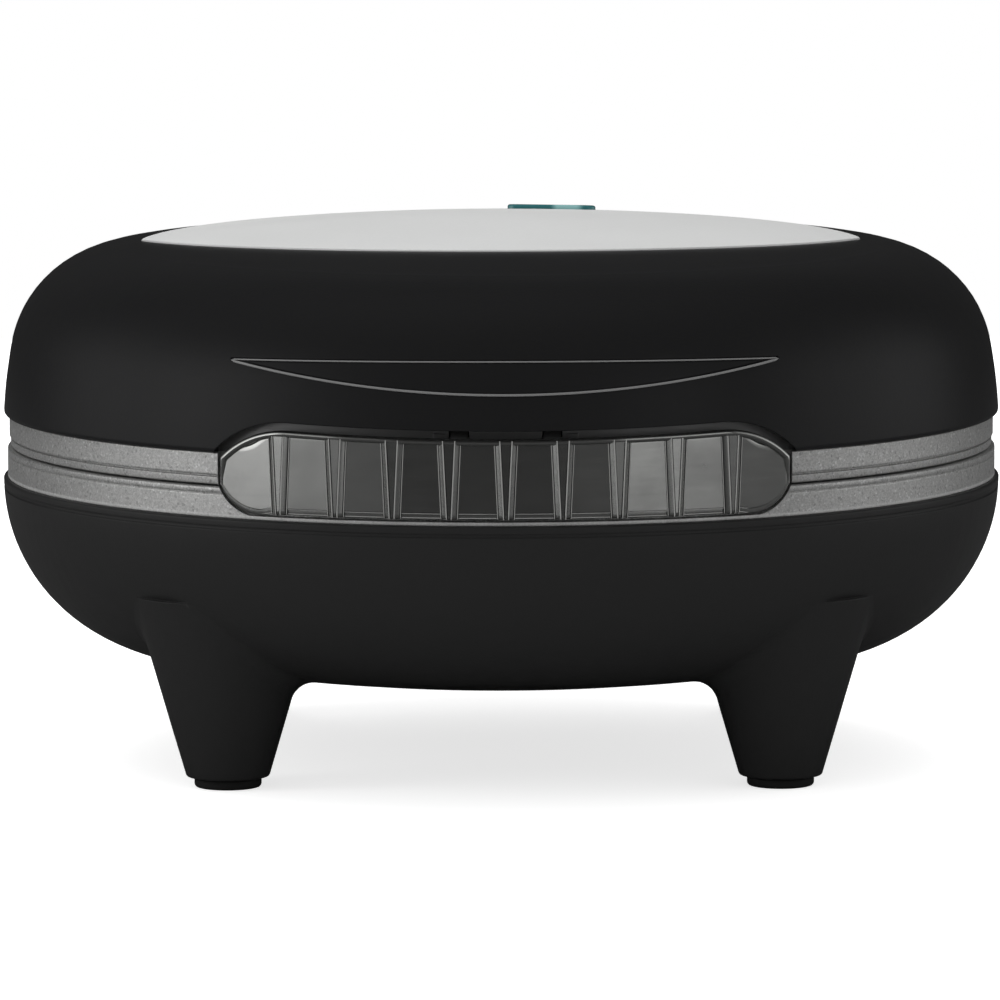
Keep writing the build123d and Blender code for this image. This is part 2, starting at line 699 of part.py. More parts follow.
def grip_rim():
    """The rolled rim that stands proud over the top of the grip and down its sides."""
    edge = grip_outline(0) - grip_outline(-GRIP_RIM_W)
    low = RIM_Z + GRIP_SIDE_LOW
    skin = tube(GRIP_OUTER_R - RIB_PROUD, GRIP_OUTER_R + GRIP_RIM_PROUD, low, LID_TOP_Z)
    return skin & front_prism(edge)


def make_latch_grip():
    outline = front_prism(grip_outline(0))
    grip = outline & tube(GRIP_INNER_R, GRIP_OUTER_R, 0, LID_TOP_Z)
    grip += grip_rim()
    grip += grip_ribs()
    for s in (-1, 1):
        x = s * LATCH_EAR_X
        eye = Pos(-LATCH_PIN_Y, LATCH_PIN_Z) * Circle(LATCH_EYE_R)
        foot = Pos(-GRIP_INNER_R, LATCH_PIN_Z - RUN_CLEAR) * Rectangle(RUN_CLEAR, 2 * LATCH_PIN_R)
        web = Plane.YZ.offset(x - LATCH_EAR_W / 2) * make_hull((eye + foot).edges())
        grip += extrude(web, amount=LATCH_EAR_W, dir=(1, 0, 0))
    hook_top = LOWER_BAND_TOP - CATCH_T - CATCH_GAP
    tip = -POCKET_R - RUN_CLEAR
    grip += block(-HOOK_HALF, HOOK_HALF, -GRIP_INNER_R - RIB_PROUD, tip, hook_top - HOOK_T, hook_top)
    return grip - latch_bar(LATCH_PIN_R + PIN_CLEAR)


def crescent(grow):
    """The curved line's outline on the lid front, in the XZ plane."""
    left = Vector(-CRESCENT_HALF, 0, LIP_Z + CRESCENT_TIP_Z)
    right = Vector(CRESCENT_HALF, 0, LIP_Z + CRESCENT_TIP_Z)
    upper = ThreePointArc(left, Vector(0, 0, LIP_Z + CRESCENT_TOP_Z), right)
    lower = ThreePointArc(left, Vector(0, 0, LIP_Z + CRESCENT_LOW_Z), right)
    return offset(make_face([upper, lower]), amount=grow)


def panel_outline(grow):
    """Plan of the crown panel: a flat front arc and a fuller back arc meeting in sharp tips."""
    left = (-PANEL_HALF - grow, 0)
    right = (PANEL_HALF + grow, 0)
    front = ThreePointArc(left, (0, -PANEL_FRONT - grow), right)
    back = ThreePointArc(right, (0, PANEL_BACK + grow), left)
    return make_face([front, back])


def lens_prism(grow, low, high):
    plan = RectangleRounded(LENS_L + 2 * grow, LENS_W + 2 * grow, LENS_CORNER_R + grow)
    return Pos(LENS_X, LENS_Y, low) * extrude(plan, amount=high - low)


def tray_top():
    """Height of the lamp tray: the lamps on it just clear the foot of the lens."""
    return lens_foot() - LAMP_GAP - 2 * LAMP_R


def lens_foot():
    reach = hypot(LENS_X + LENS_L / 2 + LENS_LIP, LENS_Y + LENS_W / 2 + LENS_LIP)
    return LID.height(reach, WALL) - LENS_LIP_T - SEAT_CLEAR


def tray_posts():
    return [(LENS_X - TRAY_POST_X, LENS_Y), (LENS_X + TRAY_POST_X, LENS_Y)]


def make_upper_shell():
    shell = LID.solid(0, LIP_Z)
    shell = fillet(level_edges(shell, LIP_Z), radius=LIP_ROUND)
    for knuckle in lid_knuckles():
        shell += knuckle
    shell -= LID.solid(WALL, LIP_Z - OVERCUT)
    inside = LID.solid(WALL / 2, LIP_Z)
    for y in BOSS_YS:
        shell += post(LID_BOSS_R, 0, y, UPPER_FACE_Z + PLATE_BOSS_END, LID_TOP_Z) & inside
        shell -= post(SCREW_R + THREAD_CLEAR, 0, y, 0, UPPER_FACE_Z + PLATE_BOSS_END + SCREW_BITE)
    for x, y in post_places():
        foot = UPPER_FACE_Z + SHIELD_DROP + SHIELD_T
        shell += post(POST_R, x, y, foot, LID_TOP_Z) & inside
        shell -= post(SMALL_SCREW_R + THREAD_CLEAR, x, y, foot, foot + SMALL_BITE + SEAT_CLEAR)
    top = tray_top()
    for x, y in tray_posts():
        shell += post(TRAY_POST_R, x, y, top, LID_TOP_Z) & inside
        shell -= post(SMALL_SCREW_R + THREAD_CLEAR, x, y, top, top + SMALL_BITE + SEAT_CLEAR)
    sink = PANEL_T - PANEL_PROUD
    recess = extrude(panel_outline(PANEL_GAP), amount=LID_TOP_Z + OVERCUT) - LID.solid(sink, 0)
    shell -= recess
    shell -= lens_prism(LENS_CLEAR, top + LAMP_R, LID_TOP_Z)
    line = crescent(CRESCENT_LINE_W / 2) - crescent(-CRESCENT_LINE_W / 2)
    shell -= front_prism(line) - LID.solid(CRESCENT_DEPTH, 0)
    shell -= front_prism(grip_outline(GRIP_TOP_GAP))
    return shell - hinge_bore()


def make_top_panel():
    sink = PANEL_T - PANEL_PROUD
    sheet = LID.skin(-PANEL_PROUD, sink, LIP_Z)
    sheet = sheet & extrude(panel_outline(0), amount=LID_TOP_Z + OVERCUT)
    return sheet - lens_prism(LENS_CLEAR, LIP_Z, LID_TOP_Z + OVERCUT)


def make_indicator_lens():
    cap = LID.solid(-PANEL_PROUD - LENS_PROUD, LIP_Z)
    lens = lens_prism(0, lens_foot(), LID_TOP_Z + OVERCUT) & cap
    return lens + lens_prism(LENS_LIP, lens_foot(), lens_foot() + LENS_LIP_T)


def make_lamp_tray():
    top = tray_top()
    tray = Pos(LENS_X, LENS_Y, top) * Box(TRAY_L, TRAY_W, TRAY_T, align=HANGING)
    for x, y in tray_posts():
        tray -= post(SMALL_SCREW_R + SCREW_CLEAR, x, y, top - TRAY_T - OVERCUT, top + OVERCUT)
    return tray


def make_lamp(side):
    x = LENS_X + side * LAMP_L / 2
    half = (LAMP_L - LAMP_GAP) / 2
    return bar(LAMP_R, x - half, x + half, LENS_Y, tray_top() + LAMP_R)


def make_tray_screws():
    one = screw(SMALL_SCREW_R, SMALL_HEAD_R, SMALL_HEAD_H, TRAY_T + SMALL_BITE)
    return [Pos(x, y, tray_top() - TRAY_T) * one for x, y in tray_posts()]


def make_base_screws():
    seat = BOWL_CLEAR + WELL_TOP
    length = LOWER_FACE_Z - PLATE_BOSS_END + SCREW_BITE - SEAT_CLEAR - seat
    one = screw(SCREW_R, SCREW_HEAD_R, SCREW_HEAD_H, length)
    return [Pos(0, y, seat) * one for y in BOSS_YS]


def make_lid_screws():
    length = PLATE_BOSS_END + SCREW_BITE - SCREW_HEAD_H - SEAT_CLEAR
    one = screw(SCREW_R, SCREW_HEAD_R, SCREW_HEAD_H - SEAT_CLEAR, length)
    return [Pos(0, y, UPPER_FACE_Z + SCREW_HEAD_H) * one for y in BOSS_YS]


def make_thermostat():
    top = LOWER_FACE_Z - SENSOR_BOSS_END
    body = post(THERMOSTAT_R, 0, 0, top - THERMOSTAT_H, top)
    for s in (-1, 1):
        blade = Pos(s * BLADE_X, 0, top - THERMOSTAT_H) * Box(BLADE_T, BLADE_W, BLADE_H, align=HANGING)
        body += blade
    return body


def make_thermal_fuse():
    z = LOWER_FACE_Z - LOWER_PAN_DEPTH - PAN_WALL - FUSE_R - HEATER_CLEAR
    return Pos(FUSE_X, 0, z) * Rot(90, 0, 0) * Cylinder(FUSE_R, FUSE_L)


def make_terminal_block():
    foot = BOWL_CLEAR + BLOCK_LIFT
    body = Pos(0, BLOCK_Y, foot) * Box(BLOCK_L, BLOCK_W, BLOCK_H, align=ON_BASE)
    first = -(BLOCK_WAYS - 1) / 2
    for i in range(BLOCK_WAYS):
        x = (first + i) * BLOCK_PITCH
        body -= post(SCREW_HEAD_R, x, BLOCK_Y, foot + BLOCK_H / 2, foot + BLOCK_H + OVERCUT)
    return body


def make_terminal_screws():
    foot = BOWL_CLEAR + BLOCK_LIFT + BLOCK_H / 2
    first = -(BLOCK_WAYS - 1) / 2
    places = [(first + i) * BLOCK_PITCH for i in range(BLOCK_WAYS)]
    return [post(SCREW_HEAD_R - SEAT_CLEAR, x, BLOCK_Y, foot, foot + BLOCK_H / 3) for x in places]


def lead(side, heater_z, far_z, far_y):
    """A lead from a heater tail, out past the shield and back to where it is clamped."""
    x = side * HEATER_TAIL_X
    turn = HEATER_TAIL_END + LEAD_REACH
    route = [(x, HEATER_TAIL_END, heater_z), (x, turn, heater_z), (x, turn, far_z), (x, far_y, far_z)]
    path = FilletPolyline(*route, radius=LEAD_BEND_R)
    return sweep(Plane(path @ 0, z_dir=path % 0) * Circle(LEAD_R), path)


def make_base_leads():
    heater_z = LOWER_FACE_Z - LOWER_PAN_DEPTH - PAN_WALL - HEATER_R - HEATER_CLEAR
    block_z = BOWL_CLEAR + BLOCK_LIFT + BLOCK_H / 2
    return [lead(s, heater_z, block_z, BLOCK_Y + BLOCK_W / 2) for s in (-1, 1)]


def make_lid_leads():
    heater_z = UPPER_FACE_Z + UPPER_PAN_DEPTH + PAN_WALL + HEATER_R + HEATER_CLEAR
    tray_z = tray_top() - TRAY_T / 2
    return [lead(1, heater_z, tray_z, LENS_Y + TRAY_W / 2)]


def make_cord_gland():
    z = RIM_Z - GLAND_DROP
    seat = BODY_R
    inner = BODY_R - GLAND_SEAT_T
    nose = seat + GLAND_FLANGE_T
    gland = gland_bar(GLAND_NECK_R, inner - GLAND_BARB_L, nose)
    gland += gland_bar(GLAND_FLANGE_R, seat, nose)
    cone = Cone(GLAND_NOSE_R0, GLAND_NOSE_R1, GLAND_NOSE_L, align=ON_BASE)
    gland += Pos(0, nose, z) * Rot(-90, 0, 0) * cone
    gland += gland_bar(GLAND_BARB_R, inner - GLAND_BARB_L, inner)
    return gland - gland_bar(GLAND_BORE_R, inner - GLAND_BARB_L - OVERCUT, nose + GLAND_NOSE_L + OVERCUT)


def make_nodes():
    """Every sub-part by name, built about the body's own axis."""
    lower = Pos(0, 0, LOWER_FACE_Z)
    upper = Pos(0, 0, UPPER_FACE_Z)
    return {
        "lower_shell": make_lower_shell(),
        "lower_band": make_lower_band(),
        "lower_plate": make_lower_plate(),
        "lower_heater": lower * heater(LOWER_PAN_DEPTH),
        "lower_heater_clips": [lower * clip for clip in heater_clips(LOWER_PAN_DEPTH)],
        "lower_heat_shield": lower * heat_shield(SHELL_BOSS_R),
        "lower_shield_screws": [lower * one for one in shield_screws()],
        "base_screws": make_base_screws(),
        "foot_pads": make_foot_pads(),
        "thermostat": make_thermostat(),
        "thermal_fuse": make_thermal_fuse(),
        "fuse_clip": lower * Pos(FUSE_X, 0, 0) * strap(FUSE_R, LOWER_PAN_DEPTH),
        "terminal_block": make_terminal_block(),
        "terminal_screws": make_terminal_screws(),
        "base_leads": make_base_leads(),
        "cord_gland": make_cord_gland(),
        "hinge_pins": make_hinge_pins(),
        "upper_shell": make_upper_shell(),
        "upper_band": make_upper_band(),
        "upper_plate": make_upper_plate(),
        "upper_heater": upper * flip(heater(UPPER_PAN_DEPTH)),
        "upper_heater_clips": [upper * flip(clip) for clip in heater_clips(UPPER_PAN_DEPTH)],
        "upper_heat_shield": upper * flip(heat_shield(LID_BOSS_R)),
        "upper_shield_screws": [upper * flip(one) for one in shield_screws()],
        "lid_screws": make_lid_screws(),
        "top_panel": make_top_panel(),
        "indicator_lens": make_indicator_lens(),
        "lamp_tray": make_lamp_tray(),
        "power_lamp": make_lamp(-1),
        "ready_lamp": make_lamp(1),
        "lamp_tray_screws": make_tray_screws(),
        "lid_leads": make_lid_leads(),
        "latch_pin": latch_bar(LATCH_PIN_R),
        "latch_grip": make_latch_grip(),
    }


def write_nodes():
    """Moves each sub-part so that the whole stands centred on the origin, and saves it."""
    os.makedirs("parts", exist_ok=True)
    for name, shape in make_nodes().items():
        solids = shape if isinstance(shape, list) else [shape]
        moved = [Pos(0, AXIS_Y, 0) * solid for solid in solids]
        whole = Compound(children=moved) if len(moved) > 1 else moved[0]
        export_step(whole, f"parts/{name}.step")


write_nodes()
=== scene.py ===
import math
from math import asin, cos, hypot, pi, radians, sin, sqrt

import bmesh
import bpy
import numpy as np
from mathutils import Matrix, Quaternion, Vector


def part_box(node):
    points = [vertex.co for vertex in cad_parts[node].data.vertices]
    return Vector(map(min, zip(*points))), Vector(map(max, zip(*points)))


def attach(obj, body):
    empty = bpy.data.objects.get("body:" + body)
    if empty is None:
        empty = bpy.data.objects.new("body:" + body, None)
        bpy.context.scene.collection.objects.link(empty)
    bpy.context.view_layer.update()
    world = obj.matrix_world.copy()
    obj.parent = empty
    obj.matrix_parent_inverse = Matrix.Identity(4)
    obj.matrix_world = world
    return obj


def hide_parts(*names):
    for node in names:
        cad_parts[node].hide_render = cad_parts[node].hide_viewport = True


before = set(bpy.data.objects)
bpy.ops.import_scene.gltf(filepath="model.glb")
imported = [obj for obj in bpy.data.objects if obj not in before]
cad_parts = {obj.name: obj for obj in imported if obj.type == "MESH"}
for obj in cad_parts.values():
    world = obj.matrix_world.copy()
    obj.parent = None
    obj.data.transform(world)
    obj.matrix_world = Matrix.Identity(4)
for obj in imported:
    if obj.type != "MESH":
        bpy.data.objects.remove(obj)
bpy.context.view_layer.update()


# The studio: a white table in a room with bright walls at both sides, and soft lamps overhead, behind and
# to the left. The camera stands two metres in front, a little above the lid, with a long lens.
class Wave:
    """A value that changes over a surface. Arithmetic on it adds the Math nodes."""

    def __init__(self, tree, socket):
        self.tree = tree
        self.socket = socket

    def math(self, operation, first, second):
        return self.tree.node("ShaderNodeMath", 0, {"operation": operation}, {0: first, 1: second})

    def __add__(self, other):
        return self.math("ADD", self, other)

    def __radd__(self, other):
        return self.math("ADD", other, self)

    def __sub__(self, other):
        return self.math("SUBTRACT", self, other)

    def __rsub__(self, other):
        return self.math("SUBTRACT", other, self)

    def __mul__(self, other):
        return self.math("MULTIPLY", self, other)

    def __rmul__(self, other):
        return self.math("MULTIPLY", other, self)


class Tree:
    """A node tree, with one method that adds any node to it."""

    def __init__(self, tree):
        self.tree = tree

    def node(self, kind, output, settings, inputs):
        made = self.tree.nodes.new(kind)
        for name, value in settings.items():
            setattr(made, name, value)
        self.feed(made, inputs)
        return Wave(self, made.outputs[output])

    def feed(self, node, inputs):
        for name, value in inputs.items():
            socket = node.inputs[name]
            if isinstance(value, Wave):
                self.tree.links.new(value.socket, socket)
            elif socket.type == "RGBA":
                socket.default_value = (*value, 1.0)
            else:
                socket.default_value = value

    def step(self, wave, low, high):
        """0 at low, 1 at high, and a smooth change between them."""
        inputs = {"Value": wave, "From Min": low, "From Max": high}
        return self.node("ShaderNodeMapRange", 0, {"interpolation_type": "SMOOTHSTEP"}, inputs)

    def seen(self, rays):
        """1 where one of these kinds of ray looks."""
        path = self.tree.nodes.new("ShaderNodeLightPath")
        waves = [Wave(self, path.outputs[ray]) for ray in rays]
        total = waves[0]
        for wave in waves[1:]:
            total = total.math("MAXIMUM", total, wave)
        return total


MM = 0.001
CREASE_DEGREES = 32.0
TABLE_WHITE = (0.8, 0.8, 0.8)
TABLE_MIRRORED = (0.07, 0.07, 0.07)
TABLE_GLOW = 0.72
band_low, band_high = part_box("lower_band")
AXIS_Y = (band_low.y + band_high.y) / 2

table_mesh = bpy.data.meshes.new("table_top")
table_corners = [(-0.8, -0.5, 0), (0.8, -0.5, 0), (0.8, 1.0, 0), (-0.8, 1.0, 0)]
table_mesh.from_pydata(table_corners, [], [(0, 1, 2, 3)])
table_top = bpy.data.objects.new("table_top", table_mesh)
bpy.context.scene.collection.objects.link(table_top)

paper = bpy.data.materials.new("table_white")
paper.use_nodes = True
paper_tree = Tree(paper.node_tree)
matt = paper.node_tree.nodes["Principled BSDF"]
mirrored_in = paper_tree.seen(["Is Glossy Ray"])
tones = {0: mirrored_in, 6: TABLE_WHITE, 7: TABLE_MIRRORED}
shade = paper_tree.node("ShaderNodeMix", 2, {"data_type": "RGBA"}, tones)
paper_tree.feed(matt, {"Base Color": shade, "Roughness": 0.9, "Specular IOR Level": 0.0})
paper_tree.feed(matt, {"Emission Color": (1, 1, 1)})
in_plain_sight = paper_tree.seen(["Is Camera Ray", "Is Transmission Ray"])
paper_tree.feed(matt, {"Emission Strength": in_plain_sight * TABLE_GLOW})
table_mesh.materials.append(paper)

from_below = paper_tree.node("ShaderNodeNewGeometry", "Backfacing", {}, {})
paper_tree.feed(matt, {"Alpha": 1.0 - from_below})

world = bpy.data.worlds.new("studio")
bpy.context.scene.world = world
world.use_nodes = True
room = Tree(world.node_tree)
look = room.node("ShaderNodeTexCoord", "Generated", {}, {})
side = room.node("ShaderNodeSeparateXYZ", 0, {}, {0: look})
ahead_of = room.node("ShaderNodeSeparateXYZ", 1, {}, {0: look})
height = room.node("ShaderNodeSeparateXYZ", 2, {}, {0: look})
bearing = side.math("ARCTAN2", side, ahead_of * -1.0) * (180 / pi)


def between(low, full, full_end, high):
    """1 for the bearings from full to full_end, fading to 0 at low and high."""
    return room.step(bearing, low, full) * room.step(bearing, high, full_end)


walls = 0.03 + between(-135, -95, -66, -24) * 0.8 + between(-96, -76, -66, -46) * 0.7
walls = walls + between(22, 36, 46, 54) * 0.6
walls = walls + between(60, 74, 104, 134) * 0.75
low_walls = walls * room.step(height, 0.75, 0.1)
back_window = room.step(ahead_of, 0.5, 0.9) * room.step(height, 0.2, 0.5) * 0.03
mirrored = low_walls + back_window
glossy = room.seen(["Is Glossy Ray"])
plain = room.seen(["Is Camera Ray", "Is Transmission Ray"])
level = mirrored * glossy + (1.0 - glossy) * 0.6
level = level * (1.0 - plain) + plain
room.feed(world.node_tree.nodes["Background"], {"Color": (1, 1, 1), "Strength": level})

LAMPS = {
    "overhead": ((-0.15, 0.3, 1.5), (1.6, 1.3), 10.0),
    "behind": ((-0.2, 1.5, 1.0), (1.4, 0.8), 9.0),
    "left": ((-1.5, -0.6, 0.8), (0.5, 1.0), 4.0),
}
for name, (spot, size, watts) in LAMPS.items():
    lamp = bpy.data.lights.new(name, "AREA")
    lamp.shape = "RECTANGLE"
    lamp.size, lamp.size_y = size
    lamp.energy = watts
    holder = bpy.data.objects.new(name, lamp)
    holder.location = spot
    holder.rotation_mode = "QUATERNION"
    holder.rotation_quaternion = (Vector((0, 0, 0.06)) - Vector(spot)).to_track_quat("-Z", "Y")
    holder.visible_camera = False
    holder.visible_glossy = False
    bpy.context.scene.collection.objects.link(holder)

CAMERA_AWAY = 2.0
CAMERA_UP = 0.275
CAMERA_ASIDE = -0.0003
CAMERA_DOWN = radians(6.26)
CAMERA_TURN = radians(0.5)
CAMERA_ROLL = radians(-0.1)
camera = bpy.data.objects.new("camera", bpy.data.cameras.new("camera"))
camera.data.lens = 324.2
camera.data.clip_end = 50.0
back = Vector((-sin(CAMERA_TURN), -cos(CAMERA_TURN), 0))
camera.location = back * CAMERA_AWAY + Vector((CAMERA_ASIDE, AXIS_Y, CAMERA_UP))
ahead = -back * cos(CAMERA_DOWN) - Vector((0, 0, sin(CAMERA_DOWN)))
camera.rotation_mode = "QUATERNION"
camera.rotation_quaternion = ahead.to_track_quat("-Z", "Y") @ Quaternion((0, 0, 1), CAMERA_ROLL)
bpy.context.scene.collection.objects.link(camera)
bpy.context.scene.camera = camera
bpy.context.scene.view_settings.view_transform = "Standard"


# The two shells: black mouldings in heat-proof plastic. The lower one carries the legs and the hinge
# ears, the upper one the hinge knuckles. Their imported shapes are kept, the bowl in a slightly paler black.
class Finish(Tree):
    """One material: its main shader, and the patterns that its pieces share."""

    def __init__(self, name, colour, roughness, metallic=0.0, **fixed):
        self.material = bpy.data.materials.new(name)
        self.material.use_nodes = True
        super().__init__(self.material.node_tree)
        self.shader = self.tree.nodes["Principled BSDF"]
        self.paint({"Base Color": colour, "Roughness": roughness, "Metallic": metallic})
        self.paint({key.replace("_", " "): value for key, value in fixed.items()})

    def paint(self, inputs):
        self.feed(self.shader, inputs)

    def spot(self, stretch=(1.0, 1.0, 1.0)):
        """The place on the piece, stretched along its axes."""
        here = self.node("ShaderNodeTexCoord", "Object", {}, {})
        return self.node("ShaderNodeMapping", 0, {}, {"Vector": here, "Scale": stretch})

    def noise(self, scale, detail=2.0, stretch=(1.0, 1.0, 1.0)):
        """Soft noise from 0 to 1, with scale grains to the metre."""
        inputs = {"Vector": self.spot(stretch), "Scale": scale, "Detail": detail}
        return self.node("ShaderNodeTexNoise", 0, {}, inputs)

    def grains(self, scale):
        """Cells that each hold one random number from 0 to 1."""
        cell = self.node("ShaderNodeTexVoronoi", "Color", {}, {"Vector": self.spot(), "Scale": scale})
        return self.node("ShaderNodeSeparateColor", 0, {}, {0: cell})

    def mix(self, mask, first, second):
        """A colour from first to second, by a mask."""
        return self.node("ShaderNodeMix", 2, {"data_type": "RGBA"}, {0: mask, 6: first, 7: second})

    def relief(self, height, depth, edge):
        """Raises the surface by a height of 0 to 1 times depth, and softens its edges by a radius."""
        corner = self.node("ShaderNodeBevel", 0, {"samples": 6}, {"Radius": edge})
        inputs = {"Height": height, "Distance": depth, "Strength": 1.0, "Normal": corner}
        self.paint({"Normal": self.node("ShaderNodeBump", 0, {}, inputs)})


def moulded(name, colour, gloss, specular, edge):
    """Moulded plastic: a slow change of gloss, and the fine peel that a polished mould leaves."""
    plastic = Finish(name, colour, gloss, **{"Specular_IOR_Level": specular})
    plastic.paint({"Roughness": gloss - 0.04 + plastic.noise(28.0, 3.0) * 0.08})
    plastic.relief(plastic.noise(1400.0), 0.00002, edge)
    return plastic


def dress(finish, *names):
    """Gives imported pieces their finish; they keep their shape and place."""
    for name in names:
        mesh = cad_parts[name].data
        mesh.materials.clear()
        mesh.materials.append(finish.material)


shell_black = moulded("shell_black", (0.0135, 0.0135, 0.014), 0.34, 0.14, 0.0005)
bowl_black = moulded("bowl_black", (0.023, 0.023, 0.023), 0.36, 0.2, 0.0005)
dress(shell_black, "upper_shell")
dress(bowl_black, "lower_shell")


# The silver bands: two turned rings that carry the plates, in silver paint with coarse metal flake.
# Each has a fine line cut round it, and both open at the front to make room for the latch grip. The
# upper one's inner wall stands up behind the grip, with slots for the grip's ears and the latch pin.
RIM_Z = 62.0
SPLIT_Z = 68.8
LIP_Z = 75.9
POCKET_R = 107.6
PLATE_SEAT_R = 105.6
PLATE_LIP_R = 101.5
RING_INNER_R = 107.8
POCKET_TOP_Z = 83.2
GRIP_HALF = 60.6
GRIP_GAP = 0.6


def place(x, y, z):
    """A point in millimetres about the body's axis, in the frame's metres."""
    return (x * MM, y * MM + AXIS_Y, z * MM)


def seat(made, body, stands_for=()):
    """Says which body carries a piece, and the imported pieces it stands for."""
    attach(made, body)
    if stands_for:
        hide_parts(*stands_for)
    return made


def solid(name, points, faces, finish, crease=CREASE_DEGREES, tones=None):
    """A closed form from points in millimetres, merged and facing outward; tones mark its lines with painted
    light and shade.
    """
    mesh = bpy.data.meshes.new(name)
    mesh.from_pydata([place(*p) for p in points], [], faces)
    if tones:
        mesh.attributes.new("painted_light_lines", "FLOAT", "POINT").data.foreach_set("value", tones)
    shape = bmesh.new()
    shape.from_mesh(mesh)
    bmesh.ops.remove_doubles(shape, verts=shape.verts, dist=0.000002)
    bmesh.ops.recalc_face_normals(shape, faces=shape.faces)
    shape.to_mesh(mesh)
    shape.free()
    mesh.polygons.foreach_set("use_smooth", [True] * len(mesh.polygons))
    mesh.set_sharp_from_angle(angle=radians(crease))
    mesh.materials.append(finish.material)
    made = bpy.data.objects.new(name, mesh)
    bpy.context.scene.collection.objects.link(made)
    return made


def settled(made):
    """Turns a piece's modifiers into plain mesh."""
    graph = bpy.context.evaluated_depsgraph_get()
    final = made.evaluated_get(graph)
    mesh = bpy.data.meshes.new_from_object(final, preserve_all_data_layers=True, depsgraph=graph)
    made.modifiers.clear()
    made.data = mesh
    return made


def carve(made, cutter):
    """Cuts one form out of another."""
    cut = made.modifiers.new("cut", "BOOLEAN")
    cut.operation = "DIFFERENCE"
    cut.solver = "EXACT"
    cut.object = cutter
    settled(made)
    bpy.data.objects.remove(cutter)
    made.data.set_sharp_from_angle(angle=radians(CREASE_DEGREES))
    return made


def box_form(name, x0, x1, y0, y1, z0, z1, finish):
    points = [(x, y, z) for x in (x0, x1) for y in (y0, y1) for z in (z0, z1)]
    faces = [(0, 1, 3, 2), (4, 6, 7, 5), (0, 4, 5, 1), (2, 3, 7, 6), (0, 2, 6, 4), (1, 5, 7, 3)]
    return solid(name, points, faces, finish)


def arc_through(a, m, b, count):
    """Points along the circle from a through m to b, in a plane."""
    (ax, ay), (mx, my), (bx, by) = a, m, b
    d = 2 * (ax * (my - by) + mx * (by - ay) + bx * (ay - my))
    cx = (hypot(*a)**2 * (my - by) + hypot(*m)**2 * (by - ay) + hypot(*b)**2 * (ay - my)) / d
    cy = (hypot(*a)**2 * (bx - mx) + hypot(*m)**2 * (ax - bx) + hypot(*b)**2 * (mx - ax)) / d
    r = hypot(ax - cx, ay - cy)
    start, mid, end = (math.atan2(y - cy, x - cx) for x, y in (a, m, b))
    turn = (end - start) % (2 * pi)
    if (mid - start) % (2 * pi) > turn:
        turn -= 2 * pi
    steps = [start + turn * i / count for i in range(count + 1)]
    return [(cx + r * cos(s), cy + r * sin(s)) for s in steps]


def grip_edge():
    """Right half of the grip's outline, from the bottom middle to the top middle, above the rim."""
    edge = [(x, 1.5) for x in np.linspace(0, 46, 12)]
    edge += arc_through((50.0, 1.5), (57.6, 3.1), (GRIP_HALF, 7.5), 20)
    edge += arc_through((GRIP_HALF, 13.7), (56.2, 17.2), (47.0, 19.6), 24)
    crest = arc_through((-47.0, 19.6), (0.0, 18.7), (47.0, 19.6), 48)
    edge += [p for p in reversed(crest) if -0.01 <= p[0] < 46.9]
    return np.array(edge)


def grown(edge, gap):
    """The same half outline moved outward by a gap."""
    run = np.gradient(edge, axis=0)
    run /= np.linalg.norm(run, axis=1)[:, None]
    return edge + gap * np.stack([run[:, 1], -run[:, 0]], 1)


def band(name, section, foot):
    """Turns a ring from its section, with the wall of the opening where the section is marked cut."""
    edge = grown(grip_edge(), GRIP_GAP)
    side = edge[edge[:, 1] < 15.5]
    front = 48
    around = 400
    points, faces = [], []
    for r, z, cut in section:
        x = float(np.interp(max(z - RIM_Z, foot), side[:, 1], side[:, 0]))
        half = asin(x / r)
        for i in range(around + 1):
            a = half + (2 * pi - 2 * half) * i / around
            points.append((-r * sin(a), -r * cos(a), z))
        inner = POCKET_R if cut else r
        half = asin(x / inner)
        for i in range(front + 1):
            a = half * (1 - 2 * i / front)
            points.append((inner * sin(a), -inner * cos(a), z))
    width = around + front + 2
    for k in range(len(section)):
        low = k * width
        high = (k + 1) % len(section) * width
        for i in range(width):
            j = (i + 1) % width
            faces.append((low + i, low + j, high + j, high + i))
    return solid(name, points, faces, band_silver)


def corner(r, z, size, start, cut):
    """A rounded corner of a section: a quarter circle going up from its starting angle."""
    turns = [start + pi / 8 * i for i in range(5)]
    return [(r + size * cos(a), z + size * sin(a), cut) for a in turns]


def silver_paint():
    """Silver paint: bright and dark flakes, greyer inside the lid at a tone raised as painted fill light in
    the shaded gap, and a painted highlight at the foot.
    """
    paint = Finish("band_silver", (0.6, 0.6, 0.59), 0.4, 0.8)
    flake = paint.grains(3400.0)
    fleck = paint.grains(2100.0)
    coat = paint.mix(flake, (0.48, 0.48, 0.475), (0.66, 0.66, 0.65))
    coat = paint.mix(paint.step(fleck, 0.9, 1.0) * 0.6, coat, (0.9, 0.9, 0.9))
    coat = paint.mix(paint.step(fleck, 0.1, 0.0) * 0.5, coat, (0.2, 0.2, 0.2))
    height = paint.node("ShaderNodeSeparateXYZ", 2, {}, {0: paint.spot()})
    # Above the lid's lip the paint turns a flat grey, raised from black as painted fill light so the shaded
    # gap over the grip reads like the shell.
    coat = paint.mix(paint.step(height, 0.07595, 0.0761), coat, (0.22, 0.22, 0.22))
    # Painted highlight: below the grip the strip is painted paler and less metallic.
    painted_highlight = paint.step(height, 0.063, 0.0627)
    coat = paint.mix(painted_highlight * 0.5, coat, (0.75, 0.75, 0.74))
    paint.paint({"Base Color": coat, "Roughness": 0.34 + paint.noise(600.0, 4.0) * 0.16})
    paint.paint({"Metallic": 0.8 - painted_highlight * 0.3})
    paint.relief(flake, 0.00001, 0.0002)
    return paint


band_silver = silver_paint()

